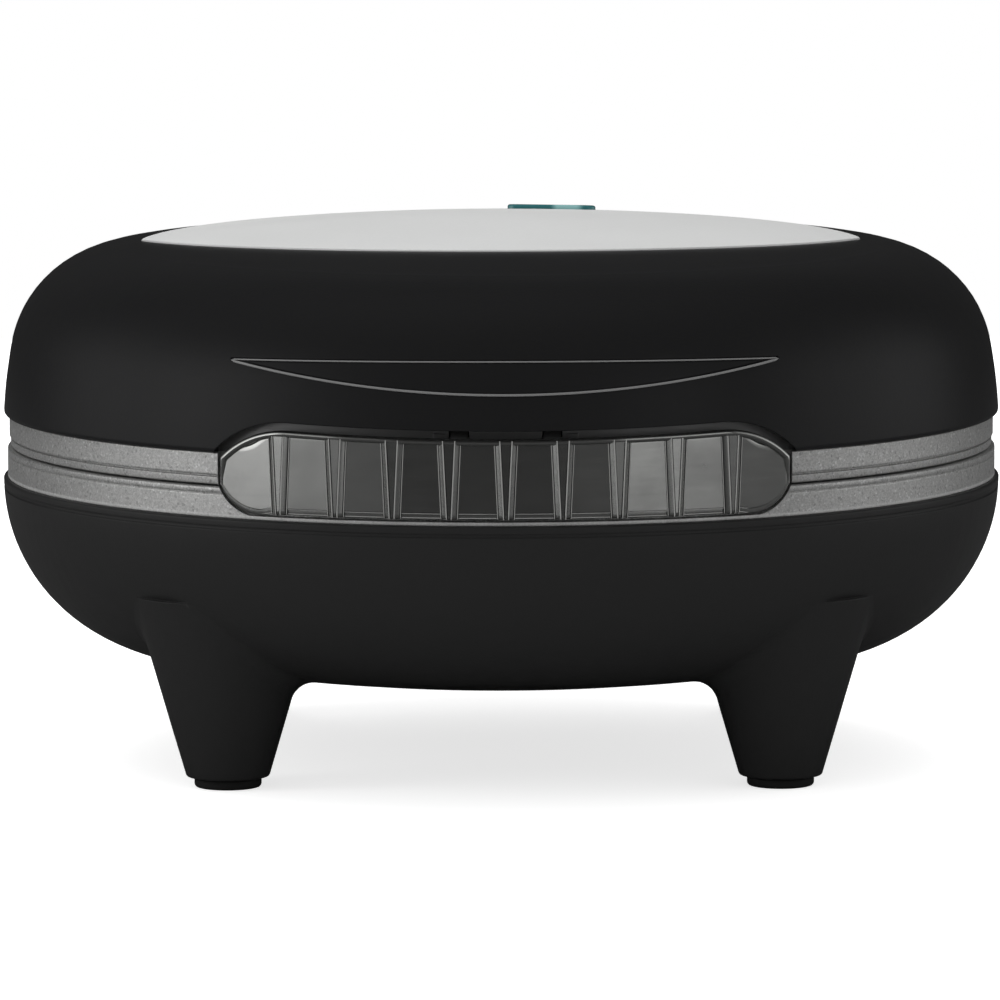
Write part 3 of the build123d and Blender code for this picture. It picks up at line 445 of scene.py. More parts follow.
LOWER_R = 110.0
lower_line = SPLIT_Z - 1.5
section = corner(LOWER_R - 0.3, RIM_Z + 0.3, 0.3, -pi / 2, False)
section += [(LOWER_R, RIM_Z + 0.85, False)]
section += [(LOWER_R, RIM_Z + z, True) for z in (0.9, 0.95, 1.02, 1.12, 1.25, 1.4)]
section += [(LOWER_R, float(z), True) for z in np.linspace(RIM_Z + 1.6, lower_line - 0.6, 12)]
section += [(LOWER_R, lower_line - 0.4, True), (LOWER_R - 0.05, lower_line - 0.3, True)]
section += [(LOWER_R - 0.14, lower_line - 0.2, True), (LOWER_R - 0.14, lower_line - 0.12, True)]
section += [(LOWER_R - 0.05, lower_line, True), (LOWER_R, lower_line + 0.12, True)]
section += corner(LOWER_R - 0.35, SPLIT_Z - 0.55, 0.35, 0.0, True)
section += [(PLATE_SEAT_R, SPLIT_Z - 0.2, False), (PLATE_SEAT_R, 65.2, False), (PLATE_LIP_R, 65.2, False)]
section += [(PLATE_LIP_R, 63.0, False), (PLATE_SEAT_R, 63.0, False), (PLATE_SEAT_R, 57.0, False)]
section += [(RING_INNER_R, 57.0, False), (RING_INNER_R, RIM_Z, False)]
lower_ring = band("lower_band_ring", section, 0.92)
carve(lower_ring, box_form("catch_slot", -10, 10, -111, -105.3, RIM_Z + 1.9, SPLIT_Z - 1.8, band_silver))
seat(lower_ring, "base", ("lower_band",))

UPPER_R = 109.6
upper_line = SPLIT_Z + 1.9
section = corner(UPPER_R - 0.3 - 0.35, SPLIT_Z + 0.55, 0.35, -pi / 2, True)
section += [(UPPER_R - 0.3, upper_line - 0.12, True), (UPPER_R - 0.42, upper_line, True)]
section += [(UPPER_R - 0.8, upper_line + 0.05, True), (UPPER_R - 0.8, upper_line + 0.3, True)]
section += [(UPPER_R - 0.25, upper_line + 0.36, True), (UPPER_R - 0.08, upper_line + 0.42, True)]
section += [(UPPER_R, upper_line + 0.6, True)]
section += [(UPPER_R, float(z), True) for z in np.linspace(upper_line + 0.8, LIP_Z - 0.4, 8)]
section += corner(UPPER_R - 0.3, LIP_Z - 0.3, 0.3, 0.0, True)
section += [(RING_INNER_R, LIP_Z, True), (POCKET_R, POCKET_TOP_Z, True), (PLATE_SEAT_R, POCKET_TOP_Z, False)]
section += [(PLATE_SEAT_R, 74.6, False), (PLATE_LIP_R, 74.6, False), (PLATE_LIP_R, 72.4, False)]
section += [(PLATE_SEAT_R, 72.4, False), (PLATE_SEAT_R, 69.0, False)]
upper_ring = band("upper_band_ring", section, 7.0)
for x0, x1 in ((-12.0, -7.7), (7.7, 12.0)):
    carve(upper_ring, box_form("ear_slot", x0, x1, -111, -99.0, 76.3, 82.4, band_silver))
carve(upper_ring, box_form("pin_channel", -8, 8, -106.4, -99.0, 78.1, 80.9, band_silver))
seat(upper_ring, "lid", ("upper_band",))


# The latch grip: a bright metal handle that hangs on a pin inside the lid and hooks under the lower
# band. A pressed plate in flat facets, a rolled rim over its top and sides, and nine tapering ribs.
PIN_Y = -105.0
PIN_Z = 79.5
RIB_COUNT = 9
RIB_PITCH = 12.0
RIB_XS = [RIB_PITCH * (i - 4) for i in range(RIB_COUNT)]
GRIP_FACE_R = 111.15
GRIP_BACK_R = 109.65


def brushed_metal():
    """Bright metal, lightly brushed from side to side, with dull clouds where hands touch it, and painted
    shade and painted highlights along its marked lines.
    """
    metal = Finish("grip_metal", (0.5, 0.5, 0.49), 0.26, 1.0)
    brush = metal.noise(900.0, 3.0, (0.12, 0.12, 1.0))
    cloud = metal.noise(90.0, 5.0)
    shade = metal.mix(metal.step(cloud, 0.35, 0.75) * 0.4, (0.58, 0.585, 0.57), (0.36, 0.36, 0.355))
    tone = metal.node("ShaderNodeAttribute", "Fac", {"attribute_name": "painted_light_lines"}, {})
    # Painted light from the marked lines: 1 darkens to painted shade, -1 turns a pale, less metallic painted
    # highlight.
    painted_highlight = metal.step(tone, 0.0, -1.0) * 0.75
    shade = metal.mix(metal.step(tone, 0.0, 1.0) * 0.85, shade, (0.03, 0.03, 0.03))
    shade = metal.mix(painted_highlight, shade, (0.42, 0.42, 0.41))
    metal.paint({"Base Color": shade, "Metallic": 1.0 - painted_highlight})
    metal.paint({"Roughness": 0.13 + brush * 0.1 + cloud * 0.1})
    metal.relief(brush, 0.000002, 0.0001)
    return metal


grip_metal = brushed_metal()
half_edge = grip_edge()
low_edge = half_edge[half_edge[:, 1] < 10.0]
high_edge = half_edge[half_edge[:, 1] > 10.0][::-1]


def grip_heights(x):
    """Lowest and highest point of the grip at a distance from its middle."""
    side = abs(x)
    low = np.interp(side, low_edge[:, 0], low_edge[:, 1])
    high = np.interp(side, high_edge[:, 0], high_edge[:, 1])
    return float(low), float(high)


def facet_y(x, r):
    """Where a flat facet between two ribs lies, for corners at a distance from the axis."""
    xs = [-61.0] + RIB_XS + [61.0]
    return float(np.interp(x, xs, [-sqrt(r * r - c * c) for c in xs]))


def rolled(inset, size):
    """How far a rounded edge drops back at a distance in from it."""
    rest = size - min(size, inset)
    return size - sqrt(max(0.0, size * size - rest * rest))


def grip_plate():
    """The pressed plate: its edges rolled back, its foot chamfered, and a notch at each top corner."""
    ends = [GRIP_HALF - d for d in (0.0, 0.06, 0.18, 0.36, 0.6, 1.0, 1.6, 2.4)]
    inner = sorted(set(round(float(x), 3) for x in np.linspace(-58, 58, 117)) | set(RIB_XS))
    columns = [-x for x in ends] + inner + list(reversed(ends))
    feet = [0.0, 0.06, 0.16, 0.28, 0.5, 1.1, 1.18, 1.3, 1.4, 1.55]
    tops = [0.0, 0.1, 0.25, 0.5]
    middle = 16
    points, faces, tones = [], [], []
    # Painted light at the foot: -1 marks painted highlights on the chamfer's edges, 1 a line of painted
    # shade just above it.
    strip = [0, 0, 0, -1, 0, 0, -1, -1, 1, 0] + [0] * (middle + len(tops) + 2)
    for x in columns:
        low, high = grip_heights(x)
        high -= 0.5 + 1.5 * max(0.0, 1 - ((abs(x) - 54.2) / 3.4)**2) + 0.8 * max(0.0, abs(x) - 59.4)
        rows = [low + f for f in feet]
        rows += list(np.linspace(low + feet[-1], high - tops[-1], middle + 2)[1:-1])
        rows += [high - t for t in reversed(tops)]
        side = rolled(GRIP_HALF - abs(x), 0.6)
        for z in rows:
            up = z - low
            chamfer = 0.32 * min(1.0, max(0.0, (1.3 - up) / 0.15)) if up < 1.3 else 0.0
            y = facet_y(x, GRIP_FACE_R) + max(side, chamfer + rolled(up, 0.5), rolled(high - z, 0.5))
            points.append((x, y, RIM_Z + z))
        for z in (rows[-1], rows[0]):
            points.append((x, facet_y(x, GRIP_BACK_R), RIM_Z + z))
        tones += [float(t if abs(x) < 52 else 0) for t in strip]
    width = len(feet) + middle + len(tops) + 2
    for k in range(len(columns) - 1):
        a, b = k * width, (k + 1) * width
        for i in range(width):
            j = (i + 1) % width
            faces.append((a + i, a + j, b + j, b + i))
    faces.append(tuple(range(width)))
    faces.append(tuple((len(columns) - 1) * width + i for i in range(width)))
    return solid("grip_plate", points, faces, grip_metal, 20.0, tones)


seat(grip_plate(), "latch", ("latch_grip",))


def workshop(name, sizes):
    """An empty geometry tree with named inputs; gives it and its waves by name."""
    group = bpy.data.node_groups.new(name, "GeometryNodeTree")
    group.interface.new_socket("Geometry", in_out="INPUT", socket_type="NodeSocketGeometry")
    group.interface.new_socket("Geometry", in_out="OUTPUT", socket_type="NodeSocketGeometry")
    for label, kind in sizes.items():
        group.interface.new_socket(label, in_out="INPUT", socket_type="NodeSocket" + kind)
    tree = Tree(group)
    entry = group.nodes.new("NodeGroupInput")
    waves = {socket.name: Wave(tree, socket) for socket in entry.outputs if socket.name}
    return tree, waves


def deliver(tree, shape, finish):
    """Ends a geometry tree: real copies, with their finish."""
    whole = tree.node("GeometryNodeRealizeInstances", 0, {}, {"Geometry": shape})
    painted = tree.node("GeometryNodeSetMaterial", 0, {}, {"Geometry": whole, "Material": finish})
    end = tree.tree.nodes.new("NodeGroupOutput")
    tree.feed(end, {"Geometry": painted})


def run_tree(seed, tree, values):
    """Runs a geometry tree on a seed and keeps what it makes as plain mesh."""
    step = seed.modifiers.new("make", "NODES")
    step.node_group = tree.tree
    for item in tree.tree.interface.items_tree:
        if item.in_out == "INPUT" and item.name in values:
            step[item.identifier] = values[item.name]
    settled(seed)
    seed.data.polygons.foreach_set("use_smooth", [True] * len(seed.data.polygons))
    seed.data.set_sharp_from_angle(angle=radians(CREASE_DEGREES))
    return seed


def path_seed(name, points, radii, closed):
    """A line of points in millimetres that carries its own thickness."""
    mesh = bpy.data.meshes.new(name)
    count = len(points)
    runs = [(i, (i + 1) % count) for i in range(count if closed else count - 1)]
    mesh.from_pydata([place(*p) for p in points], runs, [])
    thick = mesh.attributes.new("thick", "FLOAT", "POINT")
    thick.data.foreach_set("value", [r * MM for r in radii])
    made = bpy.data.objects.new(name, mesh)
    bpy.context.scene.collection.objects.link(made)
    return made


beading, flow = workshop("beading", {"Sides": "Int", "Finish": "Material"})
curve = beading.node("GeometryNodeMeshToCurve", 0, {}, {0: flow["Geometry"]})
thick = beading.node("GeometryNodeInputNamedAttribute", 0, {"data_type": "FLOAT"}, {"Name": "thick"})
inputs = {"Resolution": flow["Sides"], "Radius": 1.0}
circle = beading.node("GeometryNodeCurvePrimitiveCircle", 0, {}, inputs)
inputs = {0: curve, 1: circle, "Scale": thick, "Fill Caps": True}
bead = beading.node("GeometryNodeCurveToMesh", 0, {}, inputs)
deliver(beading, bead, flow["Finish"])

rim_line = sorted(set((round(side * x, 4), round(z, 4)) for side in (-1, 1) for x, z in high_edge))
left_side = [(-GRIP_HALF, z) for z in (7.5, 9.0, 10.5, 12.0, 13.0)]
right_side = [(-x, z) for x, z in reversed(left_side)]
rim_path = left_side + rim_line + right_side
rim_points, rim_radii = [], []
for x, z in rim_path:
    r = 0.25 + 0.5 * min(1.0, max(0.0, (z - 9.0) / 5.0))
    shrink = 1 - r / GRIP_HALF
    rim_points.append((x * shrink, facet_y(x * shrink, GRIP_FACE_R), RIM_Z + z - r))
    rim_radii.append(r)
rim_seed = path_seed("grip_rim", rim_points, rim_radii, False)
seat(run_tree(rim_seed, beading, {"Sides": 14, "Finish": grip_metal.material}), "latch")


def rib_form():
    """One rib standing at the middle of the grip: a wedge with two fine lips at its foot."""
    heights = [1.5, 1.55, 1.7, 1.95, 2.5] + list(np.linspace(3.6, 18.3, 12))
    points, faces, lines = [], [], []
    for z in heights:
        t = (z - 1.9) / (18.3 - 1.9)
        foot = 1.75 + (2.48 - 1.75) * t
        face = 0.5 + (1.3 - 0.5) * t
        sink = 0.45 * max(0.0, (1.95 - z) / 0.45)**2
        # The third number of each point is painted light: 1 painted shade in the grooves, -1 painted
        # highlights on the ridges and face edges.
        section = [(foot + 0.2, -0.3, 1), (foot + 0.15, 0.03, 1), (foot + 0.06, 0.14, -1)]
        section += [(foot - 0.04, 0.14, -1), (foot - 0.14, 0.03, 1)]
        section += [(foot - 0.24, 0.06, 1), (foot - 0.36, 0.18, 0)]
        section += [(face + 0.2, 0.6, 0), (face + 0.08, 0.8, -1), (face - 0.06, 0.82, -1)]
        section += [(face - 0.14, 0.7, 1), (face - 0.26, 0.68, 1), (face - 0.36, 0.68, 0)]
        outline = [(-x, d, line) for x, d, line in section]
        outline += [(x, d, line) for x, d, line in reversed(section)]
        for x, d, line in outline:
            points.append((x, -111.05 - d + sink, RIM_Z + z))
            lines.append(float(line))
    width = 26
    for k in range(len(heights) - 1):
        a, b = k * width, (k + 1) * width
        for i in range(width):
            j = (i + 1) % width
            faces.append((a + i, a + j, b + j, b + i))
    faces.append(tuple(range(width)))
    faces.append(tuple((len(heights) - 1) * width + i for i in range(width)))
    return solid("rib_form", points, faces, grip_metal, 25.0, lines)


sizes = {"Rib": "Object", "Count": "Int", "Pitch": "Float", "Radius": "Float", "Finish": "Material"}
ribs, flow = workshop("grip_ribs", sizes)
line = ribs.node("GeometryNodeMeshLine", 0, {}, {"Count": flow["Count"], "Offset": (0.0, 0.0, 0.0)})
index = ribs.node("GeometryNodeInputIndex", 0, {}, {})
across = (index - (flow["Count"] - 1.0) * 0.5) * flow["Pitch"]
inward = flow["Radius"] - across.math("SQRT", flow["Radius"] * flow["Radius"] - across * across, 0.0)
spot = ribs.node("ShaderNodeCombineXYZ", 0, {}, {"X": across, "Y": inward})
line = ribs.node("GeometryNodeSetPosition", 0, {}, {"Geometry": line, "Position": spot})
turn = across.math("ARCSINE", across.math("DIVIDE", across, flow["Radius"]), 0.0)
turned = ribs.node("ShaderNodeCombineXYZ", 0, {}, {"Z": turn})
rib = ribs.node("GeometryNodeObjectInfo", "Geometry", {"transform_space": "ORIGINAL"}, {0: flow["Rib"]})
row = ribs.node("GeometryNodeInstanceOnPoints", 0, {}, {"Points": line, "Instance": rib, "Rotation": turned})
deliver(ribs, row, flow["Finish"])


RIB_R = 0.111
rib = rib_form()
rib.data.transform(Matrix.Translation((0, RIB_R - AXIS_Y, 0)))
rib_seed = path_seed("grip_ribs", [(0, 0, 0)], [0], False)
values = {"Rib": rib, "Count": RIB_COUNT, "Pitch": 0.012, "Radius": RIB_R, "Finish": grip_metal.material}
run_tree(rib_seed, ribs, values)
bpy.data.objects.remove(rib)
rib_seed.data.transform(Matrix.Translation((0, -RIB_R + AXIS_Y, 0)))
seat(rib_seed, "latch")


def eye(name, x0, x1, wall, foot, finish):
    """A lug round the latch pin, reaching to a foot of a given half height on the wall before it."""
    rim = [(PIN_Y + 2.6 * cos(t), PIN_Z + 2.6 * sin(t)) for t in np.linspace(-1.9, 1.9, 39)]
    rim += [(wall, PIN_Z - 0.3 + foot * (1 - i / 4)) for i in range(9)]
    turns = [math.atan2(z - PIN_Z, y - PIN_Y) for y, z in rim]
    hole = [(PIN_Y + 1.05 * cos(t), PIN_Z + 1.05 * sin(t)) for t in turns]
    points = [(x, y, z) for x in (x0, x1) for y, z in hole + rim]
    faces = []
    for i in range(48):
        j = (i + 1) % 48
        faces.append((i, j, 48 + j, 48 + i))
        faces.append((96 + i, 144 + i, 144 + j, 96 + j))
        faces.append((i, 96 + i, 96 + j, j))
        faces.append((48 + i, 48 + j, 144 + j, 144 + i))
    return solid(name, points, faces, finish)


def softened(made, width):
    """Rounds the edges of a form."""
    edge = made.modifiers.new("edge", "BEVEL")
    edge.width = width * MM
    edge.segments = 3
    edge.limit_method = "ANGLE"
    settled(made)
    made.data.polygons.foreach_set("use_smooth", [True] * len(made.data.polygons))
    made.data.set_sharp_from_angle(angle=radians(CREASE_DEGREES))
    return made


for name, x in (("grip_ear_left", -9.85), ("grip_ear_right", 9.85)):
    seat(softened(eye(name, x - 1.85, x + 1.85, -109.7, 1.0, band_silver), 0.2), "latch")
for name, x in (("latch_lug_left", -13.7), ("latch_lug_right", 13.7)):
    seat(softened(eye(name, x - 1.7, x + 1.7, -106.9, 2.2, band_silver), 0.2), "lid")
hook = box_form("grip_hook", -9, 9, -110.2, -107.9, 64.3, 66.3, grip_metal)
seat(softened(hook, 0.4), "latch")


# The crown panel: a thin satin metal sheet let into the lid, its edges rounded, with a window for the
# lamp lens near its back edge.
LID_CROWN_R = 711.5
LID_APEX_Z = 118.4
PANEL_HALF = 80.0


def crown_z(x, y):
    return LID_APEX_Z - LID_CROWN_R + sqrt(LID_CROWN_R**2 - x * x - y * y)


def satin_metal():
    satin = Finish("panel_satin", (0.62, 0.62, 0.62), 0.42)
    grain = satin.noise(1800.0, 2.0)
    satin.paint({"Roughness": 0.36 + satin.noise(40.0, 2.0) * 0.1})
    satin.paint({"Base Color": satin.mix(grain, (0.66, 0.665, 0.66), (0.74, 0.745, 0.74))})
    satin.relief(grain, 0.00001, 0.0002)
    return satin


panel_satin = satin_metal()


def panel_sheet():
    front_arc = np.array(arc_through((-PANEL_HALF, 0), (0, -58.0), (PANEL_HALF, 0), 400))
    back_arc = np.array(arc_through((-PANEL_HALF, 0), (0, 67.0), (PANEL_HALF, 0), 400))
    columns = -PANEL_HALF + 2 * PANEL_HALF * (1 - np.cos(np.linspace(0, pi, 121))) / 2
    shares = [0.0, 0.0015, 0.004, 0.008, 0.014, 0.03] + list(np.linspace(0.06, 0.94, 30))
    shares += [1 - s for s in (0.03, 0.014, 0.008, 0.004, 0.0015, 0.0)]
    points, faces = [], []
    for x in columns:
        y0 = float(np.interp(x, front_arc[:, 0], front_arc[:, 1]))
        y1 = float(np.interp(x, back_arc[:, 0], back_arc[:, 1]))
        ring_top, ring_low = [], []
        for s in shares:
            y = y0 + (y1 - y0) * s
            away = min(0.4, min(y - y0, y1 - y) * 0.9, (PANEL_HALF - abs(x)) * 0.6)
            drop = 0.4 - sqrt(max(0.0, 0.16 - (0.4 - away)**2))
            ring_top.append((x, y, crown_z(x, y) + 0.4 - drop * 0.75))
            ring_low.append((x, y, crown_z(x, y) - 0.55))
        points += ring_top + ring_low[::-1]
    width = 2 * len(shares)
    for k in range(len(columns) - 1):
        a, b = k * width, (k + 1) * width
        for i in range(width):
            j = (i + 1) % width
            faces.append((a + i, a + j, b + j, b + i))
    return solid("crown_panel", points, faces, panel_satin, 40.0)


def rounded_plan(half_l, half_w, r, count=6):
    """Outline of a rounded rectangle about its middle."""
    plan = []
    for sx, sy, start in ((1, 1, 0), (-1, 1, pi / 2), (-1, -1, pi), (1, -1, 3 * pi / 2)):
        for i in range(count + 1):
            a = start + pi / 2 * i / count
            plan.append((sx * (half_l - r) + r * cos(a), sy * (half_w - r) + r * sin(a)))
    return plan


LENS_X, LENS_Y = 12.0, 50.0


def lens_form(name, layers, finish):
    """Stacks rounded outlines, each with its inset and height over the crown, into a closed form."""
    points, faces = [], []
    for inset, lift in layers:
        for x, y in rounded_plan(10.0 - inset, 3.5 - inset, max(0.3, 2.0 - inset)):
            points.append((LENS_X + x, LENS_Y + y, crown_z(LENS_X + x, LENS_Y + y) + lift))
    width = 28
    for k in range(len(layers) - 1):
        a, b = k * width, (k + 1) * width
        for i in range(width):
            j = (i + 1) % width
            faces.append((a + i, a + j, b + j, b + i))
    faces.append(tuple(range(width)))
    faces.append(tuple((len(layers) - 1) * width + i for i in range(width)))
    return solid(name, points, faces, finish)


panel = carve(panel_sheet(), lens_form("window", [(-0.25, -5.0), (-0.25, 5.0)], panel_satin))
seat(panel, "lid", ("top_panel",))


# The lamp lens: a teal window in clear-tinted plastic over the two lamps. The right lamp's glow is painted
# into the lens as a paler patch.
def tinted():
    teal = Finish("lens_teal", (0.04, 0.17, 0.18), 0.12, Coat_Weight=0.6, Coat_Roughness=0.05)
    here = teal.node("ShaderNodeSeparateXYZ", 0, {}, {0: teal.spot()})
    # Painted glow: the part over the right lamp is painted paler teal.
    painted_lamp_glow = teal.step(here, 0.0115, 0.0135) * teal.step(here, 0.0195, 0.0175)
    teal.paint({"Base Color": teal.mix(painted_lamp_glow, (0.04, 0.17, 0.18), (0.3, 0.56, 0.56))})
    teal.relief(teal.noise(300.0), 0.00001, 0.0003)
    return teal


lens_teal = tinted()
lens_layers = [(-1.0, -3.2), (-1.0, -2.7), (0.0, -2.7), (0.0, 0.95), (0.08, 1.15), (0.25, 1.3), (0.5, 1.38)]
lens_layers += [(1.2, 1.4), (2.4, 1.4)]
seat(lens_form("lamp_lens", lens_layers, lens_teal), "lid", ("indicator_lens",))


# The crescent: a fine raised line on the front of the lid, moulded with the shell in black, coloured pale
# grey as a painted highlight.
def lid_radius(z):
    """Distance of the lid's side from the axis at a height, side arc below and corner arc above."""
    if z < 91.633:
        return -7.9 + sqrt(118.9**2 - (z - 69.9)**2)
    return 82.845 + sqrt(26.6**2 - (z - 86.771)**2)


top_line = arc_through((-57.6, LIP_Z + 20.0), (0, LIP_Z + 20.8), (57.6, LIP_Z + 20.0), 60)
low_line = arc_through((57.6, LIP_Z + 19.6), (0, LIP_Z + 13.9), (-57.6, LIP_Z + 19.6), 60)
loop, loop_radii = [], []
for x, z in top_line + [(58.1, LIP_Z + 19.8)] + low_line + [(-58.1, LIP_Z + 19.8)]:
    r = lid_radius(z) - 0.02
    loop.append((x, -sqrt(r * r - x * x), z))
    loop_radii.append(0.17 if (x, z) in top_line else 0.27)
# Painted highlight: the black line is coloured pale grey.
crescent_highlight_paint = moulded("crescent_black", (0.22, 0.22, 0.22), 0.25, 0.8, 0.0001)
crescent = path_seed("crescent_line", loop, loop_radii, True)
seat(run_tree(crescent, beading, {"Sides": 10, "Finish": crescent_highlight_paint.material}), "lid")


# The feet: four soft rubber pads plugged into the leg tips, each with a ring tread underneath.
def turned(name, profile, finish, along="z", centre=(0.0, 0.0, 0.0), sides=72):
    """Turns a closed profile of (radius, distance) pairs about an axis through a centre."""
    points, faces = [], []
    for r, h in profile:
        for i in range(sides):
            a = 2 * pi * i / sides
            u, v = r * cos(a), r * sin(a)
            x, y, z = {"x": (h, u, v), "y": (u, h, v), "z": (u, v, h)}[along]
            points.append((centre[0] + x, centre[1] + y, centre[2] + z))
    count = len(profile)
    runs = count if profile[0][0] > 0 else count - 1
    for k in range(runs):
        low, high = k * sides, (k + 1) % count * sides
        for i in range(sides):
            j = (i + 1) % sides
            faces.append((low + i, low + j, high + j, high + i))
    return solid(name, points, faces, finish)


def template(form):
    """Shifts a form from the body's axis to the origin, ready for copying."""
    form.data.transform(Matrix.Translation((0, -AXIS_Y, 0)))
    return form


sizes = {"Part": "Object", "Seed": "Int", "Turn": "Float", "Finish": "Material"}
copier, flow = workshop("copies", sizes)
inputs = {2: 0.0, 3: flow["Turn"], "Seed": flow["Seed"]}
spin = copier.node("FunctionNodeRandomValue", 1, {"data_type": "FLOAT"}, inputs)
spun = copier.node("ShaderNodeCombineXYZ", 0, {}, {"Z": spin})
part = copier.node("GeometryNodeObjectInfo", "Geometry", {"transform_space": "ORIGINAL"}, {0: flow["Part"]})
inputs = {"Points": flow["Geometry"], "Instance": part, "Rotation": spun}
deliver(copier, copier.node("GeometryNodeInstanceOnPoints", 0, {}, inputs), flow["Finish"])


def copies(name, form, spots, turn, finish):
    """One piece made of real copies of a form, each turned by chance up to an angle."""
    seed = path_seed(name, spots, [0.0] * len(spots), False)
    values = {"Part": template(form), "Seed": 7, "Turn": turn, "Finish": finish.material}
    run_tree(seed, copier, values)
    bpy.data.objects.remove(form)
    return seed


pad_rubber = moulded("pad_rubber", (0.014, 0.014, 0.014), 0.75, 0.3, 0.0003)
tread = [(0, 0.5), (2.4, 0.5), (2.7, 0.15), (3.0, 0.0), (3.9, 0.0), (4.2, 0.15), (4.4, 0.4), (4.9, 0.4)]
tread += [(5.1, 0.15), (5.4, 0.0), (6.5, 0.0), (6.9, 0.12), (7.2, 0.45), (7.3, 0.8), (7.3, 1.6), (7.2, 1.95)]
tread += [(6.95, 2.2), (6.6, 2.3), (3.0, 2.3), (3.0, 6.1), (2.6, 6.3), (0, 6.3)]
LEG_X, LEG_Y = 60.0, 62.0
leg_spots = [(sx * LEG_X, sy * LEG_Y, 0) for sx in (-1, 1) for sy in (-1, 1)]
pads = copies("foot_pad_set", turned("pad_form", tread, pad_rubber), leg_spots, 0.0, pad_rubber)
seat(pads, "base", ("foot_pads",))


# The screws: four from below that clamp the base and four that hold the upper plate, plated steel with
# a cross recess, each left at its own angle.
def worn_steel(name, colour, roughness, scale):
    steel = Finish(name, colour, roughness, 1.0)
    mottle = steel.noise(scale, 4.0)
    pale = tuple(min(1.0, c * 1.15) for c in colour)
    dull = tuple(c * 0.6 for c in colour)
    steel.paint({"Base Color": steel.mix(mottle, dull, pale), "Roughness": roughness - 0.06 + mottle * 0.15})
    steel.relief(mottle, 0.00001, 0.0001)
    return steel


def cross_screw(length):
    """A pan-head screw standing head down at the axis, its seat at height 0."""
    head = [(0, -2.0), (1.0, -1.96), (1.9, -1.75), (2.45, -1.4), (2.72, -0.9), (2.78, -0.3), (2.7, 0.0)]
    shank = [(1.55, 0.0), (1.55, 0.6)]
    thread = [(1.2 if i % 2 else 1.58, 0.8 + 0.35 * i) for i in range(int((length - 2.2) / 0.35))]
    point = [(1.0, length - 0.8), (0, length)]
    form = turned("screw_form", head + shank + thread + point, screw_steel, sides=36)
    for x, y in ((1.5, 0.32), (0.32, 1.5)):
        slot = box_form("recess", -x, x, -y, y, -3.0, -1.0, screw_steel)
        carve(form, slot)
    return form


screw_steel = worn_steel("screw_steel", (0.5, 0.5, 0.5), 0.3, 400.0)
screw_ys = (-76.0, -36.0, 36.0, 76.0)
for name, node, foot in (("base_screw_set", "base_screws", 28.5), ("lid_screw_set", "lid_screws", 71.2)):
    low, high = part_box(node)
    spots = [(0, y, foot) for y in screw_ys]
    made = copies(name, cross_screw(high.z / MM - foot), spots, pi / 2, screw_steel)
    seat(made, "base" if node == "base_screws" else "lid", (node,))


# The hinge pins: two steel pins with domed heads, through the knuckles behind the body.
pin_low, pin_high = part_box("hinge_pins")
pin_out = pin_high.x / MM
pin_in = 2 * 26.0 - pin_out
pin = [(0, pin_in), (1.3, pin_in + 0.1), (2.1, pin_in + 0.45), (2.55, pin_in + 0.95), (2.6, pin_in + 1.2)]
pin += [(1.5, pin_in + 1.2), (1.5, pin_out - 1.2), (2.6, pin_out - 1.2), (2.55, pin_out - 0.95)]
pin += [(2.1, pin_out - 0.45), (1.3, pin_out - 0.1), (0, pin_out)]
pin_z = (pin_low.z + pin_high.z) / 2 / MM
pin_y = ((pin_low.y + pin_high.y) / 2 - AXIS_Y) / MM
right_pin = turned("hinge_pin_right", pin, screw_steel, "x", (0.0, pin_y, pin_z), 48)
seat(right_pin, "base", ("hinge_pins",))
left_pin = turned("hinge_pin_left", [(r, -x) for r, x in pin], screw_steel, "x", (0.0, pin_y, pin_z), 48)
seat(left_pin, "base")


# The cord gland: a black rubber-like bushing in the rear wall, with a flange and a ringed nose that
# would grip the cord.
gland_black = moulded("gland_black", (0.01, 0.01, 0.01), 0.55, 0.3, 0.0002)
nose = []
for i in range(4):
    y = 114.4 + 1.9 * i
    r = 6.8 - 1.6 * (y - 113.5) / 8.5
    nose += [(r, y), (r, y + 0.8), (r - 0.7, y + 1.0), (r - 0.7, y + 1.5)]
gland = [(3.4, 98.9), (5.6, 98.9), (6.0, 99.4), (6.0, 101.5), (5.1, 101.5), (5.1, 111.0), (8.2, 111.0)]
gland += [(8.5, 111.3), (8.5, 112.9), (8.3, 113.3), (7.9, 113.5), (6.9, 113.5)] + nose
gland += [(5.3, 121.6), (5.0, 122.0), (3.8, 122.0), (3.4, 121.6)]
cord_gland = turned("gland_bushing", gland, gland_black, "y", (0.0, 0.0, 47.0))
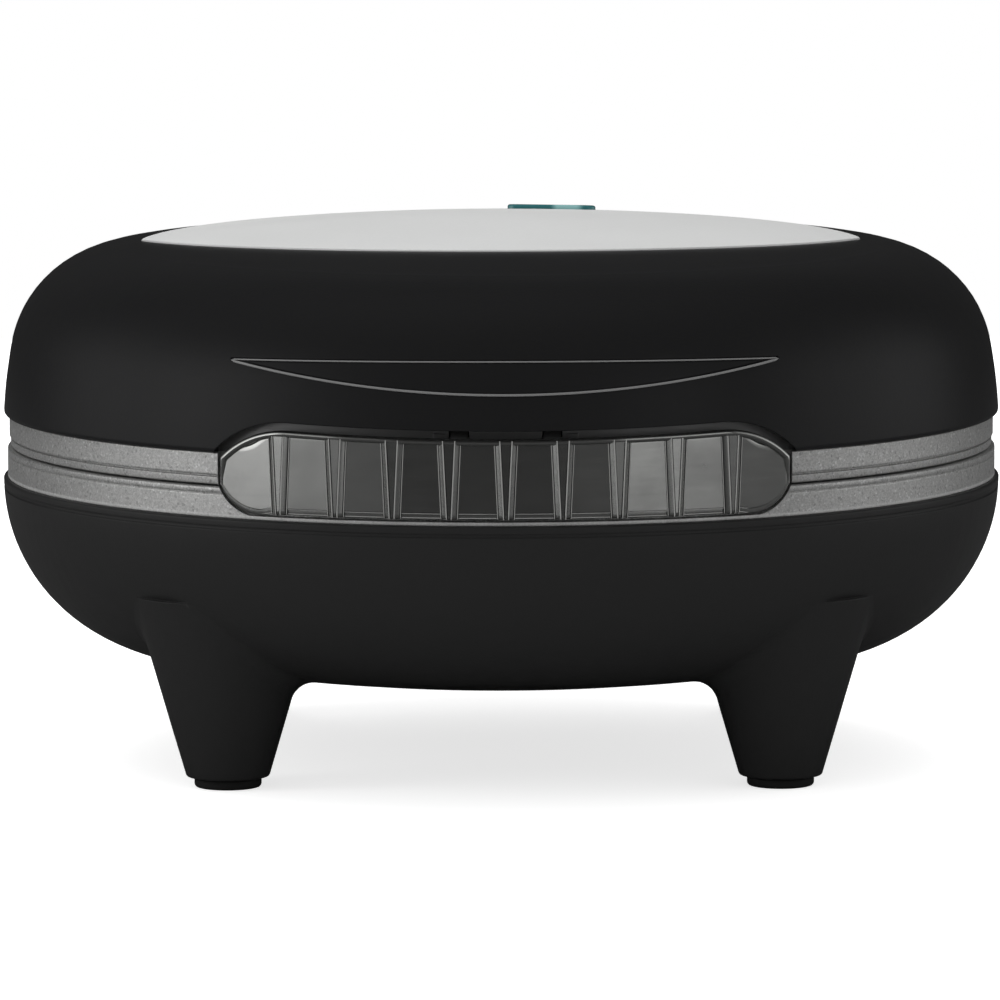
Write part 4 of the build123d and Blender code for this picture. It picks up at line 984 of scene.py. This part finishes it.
seat(cord_gland, "base", ("cord_gland",))


# The workings inside, as packed: heaters, clips, shields, thermostat, fuse, terminals and leads.
heater_sheath = worn_steel("heater_sheath", (0.2, 0.19, 0.18), 0.45, 180.0)
shield_metal = worn_steel("shield_metal", (0.6, 0.6, 0.6), 0.35, 120.0)
spring_steel = worn_steel("spring_steel", (0.4, 0.4, 0.42), 0.3, 300.0)
fuse_metal = worn_steel("fuse_metal", (0.55, 0.5, 0.4), 0.3, 300.0)
ceramic = moulded("ceramic_white", (0.75, 0.73, 0.68), 0.5, 0.5, 0.0004)
sleeve = moulded("lead_sleeve", (0.6, 0.58, 0.5), 0.8, 0.3, 0.0002)
tray_plastic = moulded("tray_plastic", (0.3, 0.3, 0.3), 0.5, 0.4, 0.0003)
lamp_glass = moulded("lamp_glass", (0.7, 0.75, 0.75), 0.1, 0.5, 0.0002)
dress(heater_sheath, "lower_heater", "upper_heater")
dress(spring_steel, "lower_heater_clips", "upper_heater_clips", "fuse_clip")
dress(shield_metal, "lower_heat_shield", "upper_heat_shield")
dress(screw_steel, "lower_shield_screws", "upper_shield_screws")
dress(screw_steel, "terminal_screws", "lamp_tray_screws", "latch_pin")
dress(ceramic, "thermostat", "terminal_block")
dress(fuse_metal, "thermal_fuse")
dress(sleeve, "base_leads", "lid_leads")
dress(tray_plastic, "lamp_tray")
dress(lamp_glass, "power_lamp", "ready_lamp")


# The cooking plates: pressed aluminium with half-moon pans, in a dark speckled non-stick coating.
def non_stick():
    """Non-stick coating: dark grey with fine pale specks, satin, slightly rippled."""
    coat = Finish("plate_nonstick", (0.045, 0.045, 0.047), 0.42)
    speck = coat.grains(1600.0)
    shade = coat.mix(coat.step(speck, 0.88, 0.96) * 0.6, (0.042, 0.042, 0.045), (0.17, 0.17, 0.17))
    coat.paint({"Base Color": shade, "Roughness": 0.34 + coat.noise(200.0, 3.0) * 0.14})
    coat.relief(coat.noise(900.0), 0.00003, 0.0006)
    return coat


dress(non_stick(), "lower_plate", "upper_plate")
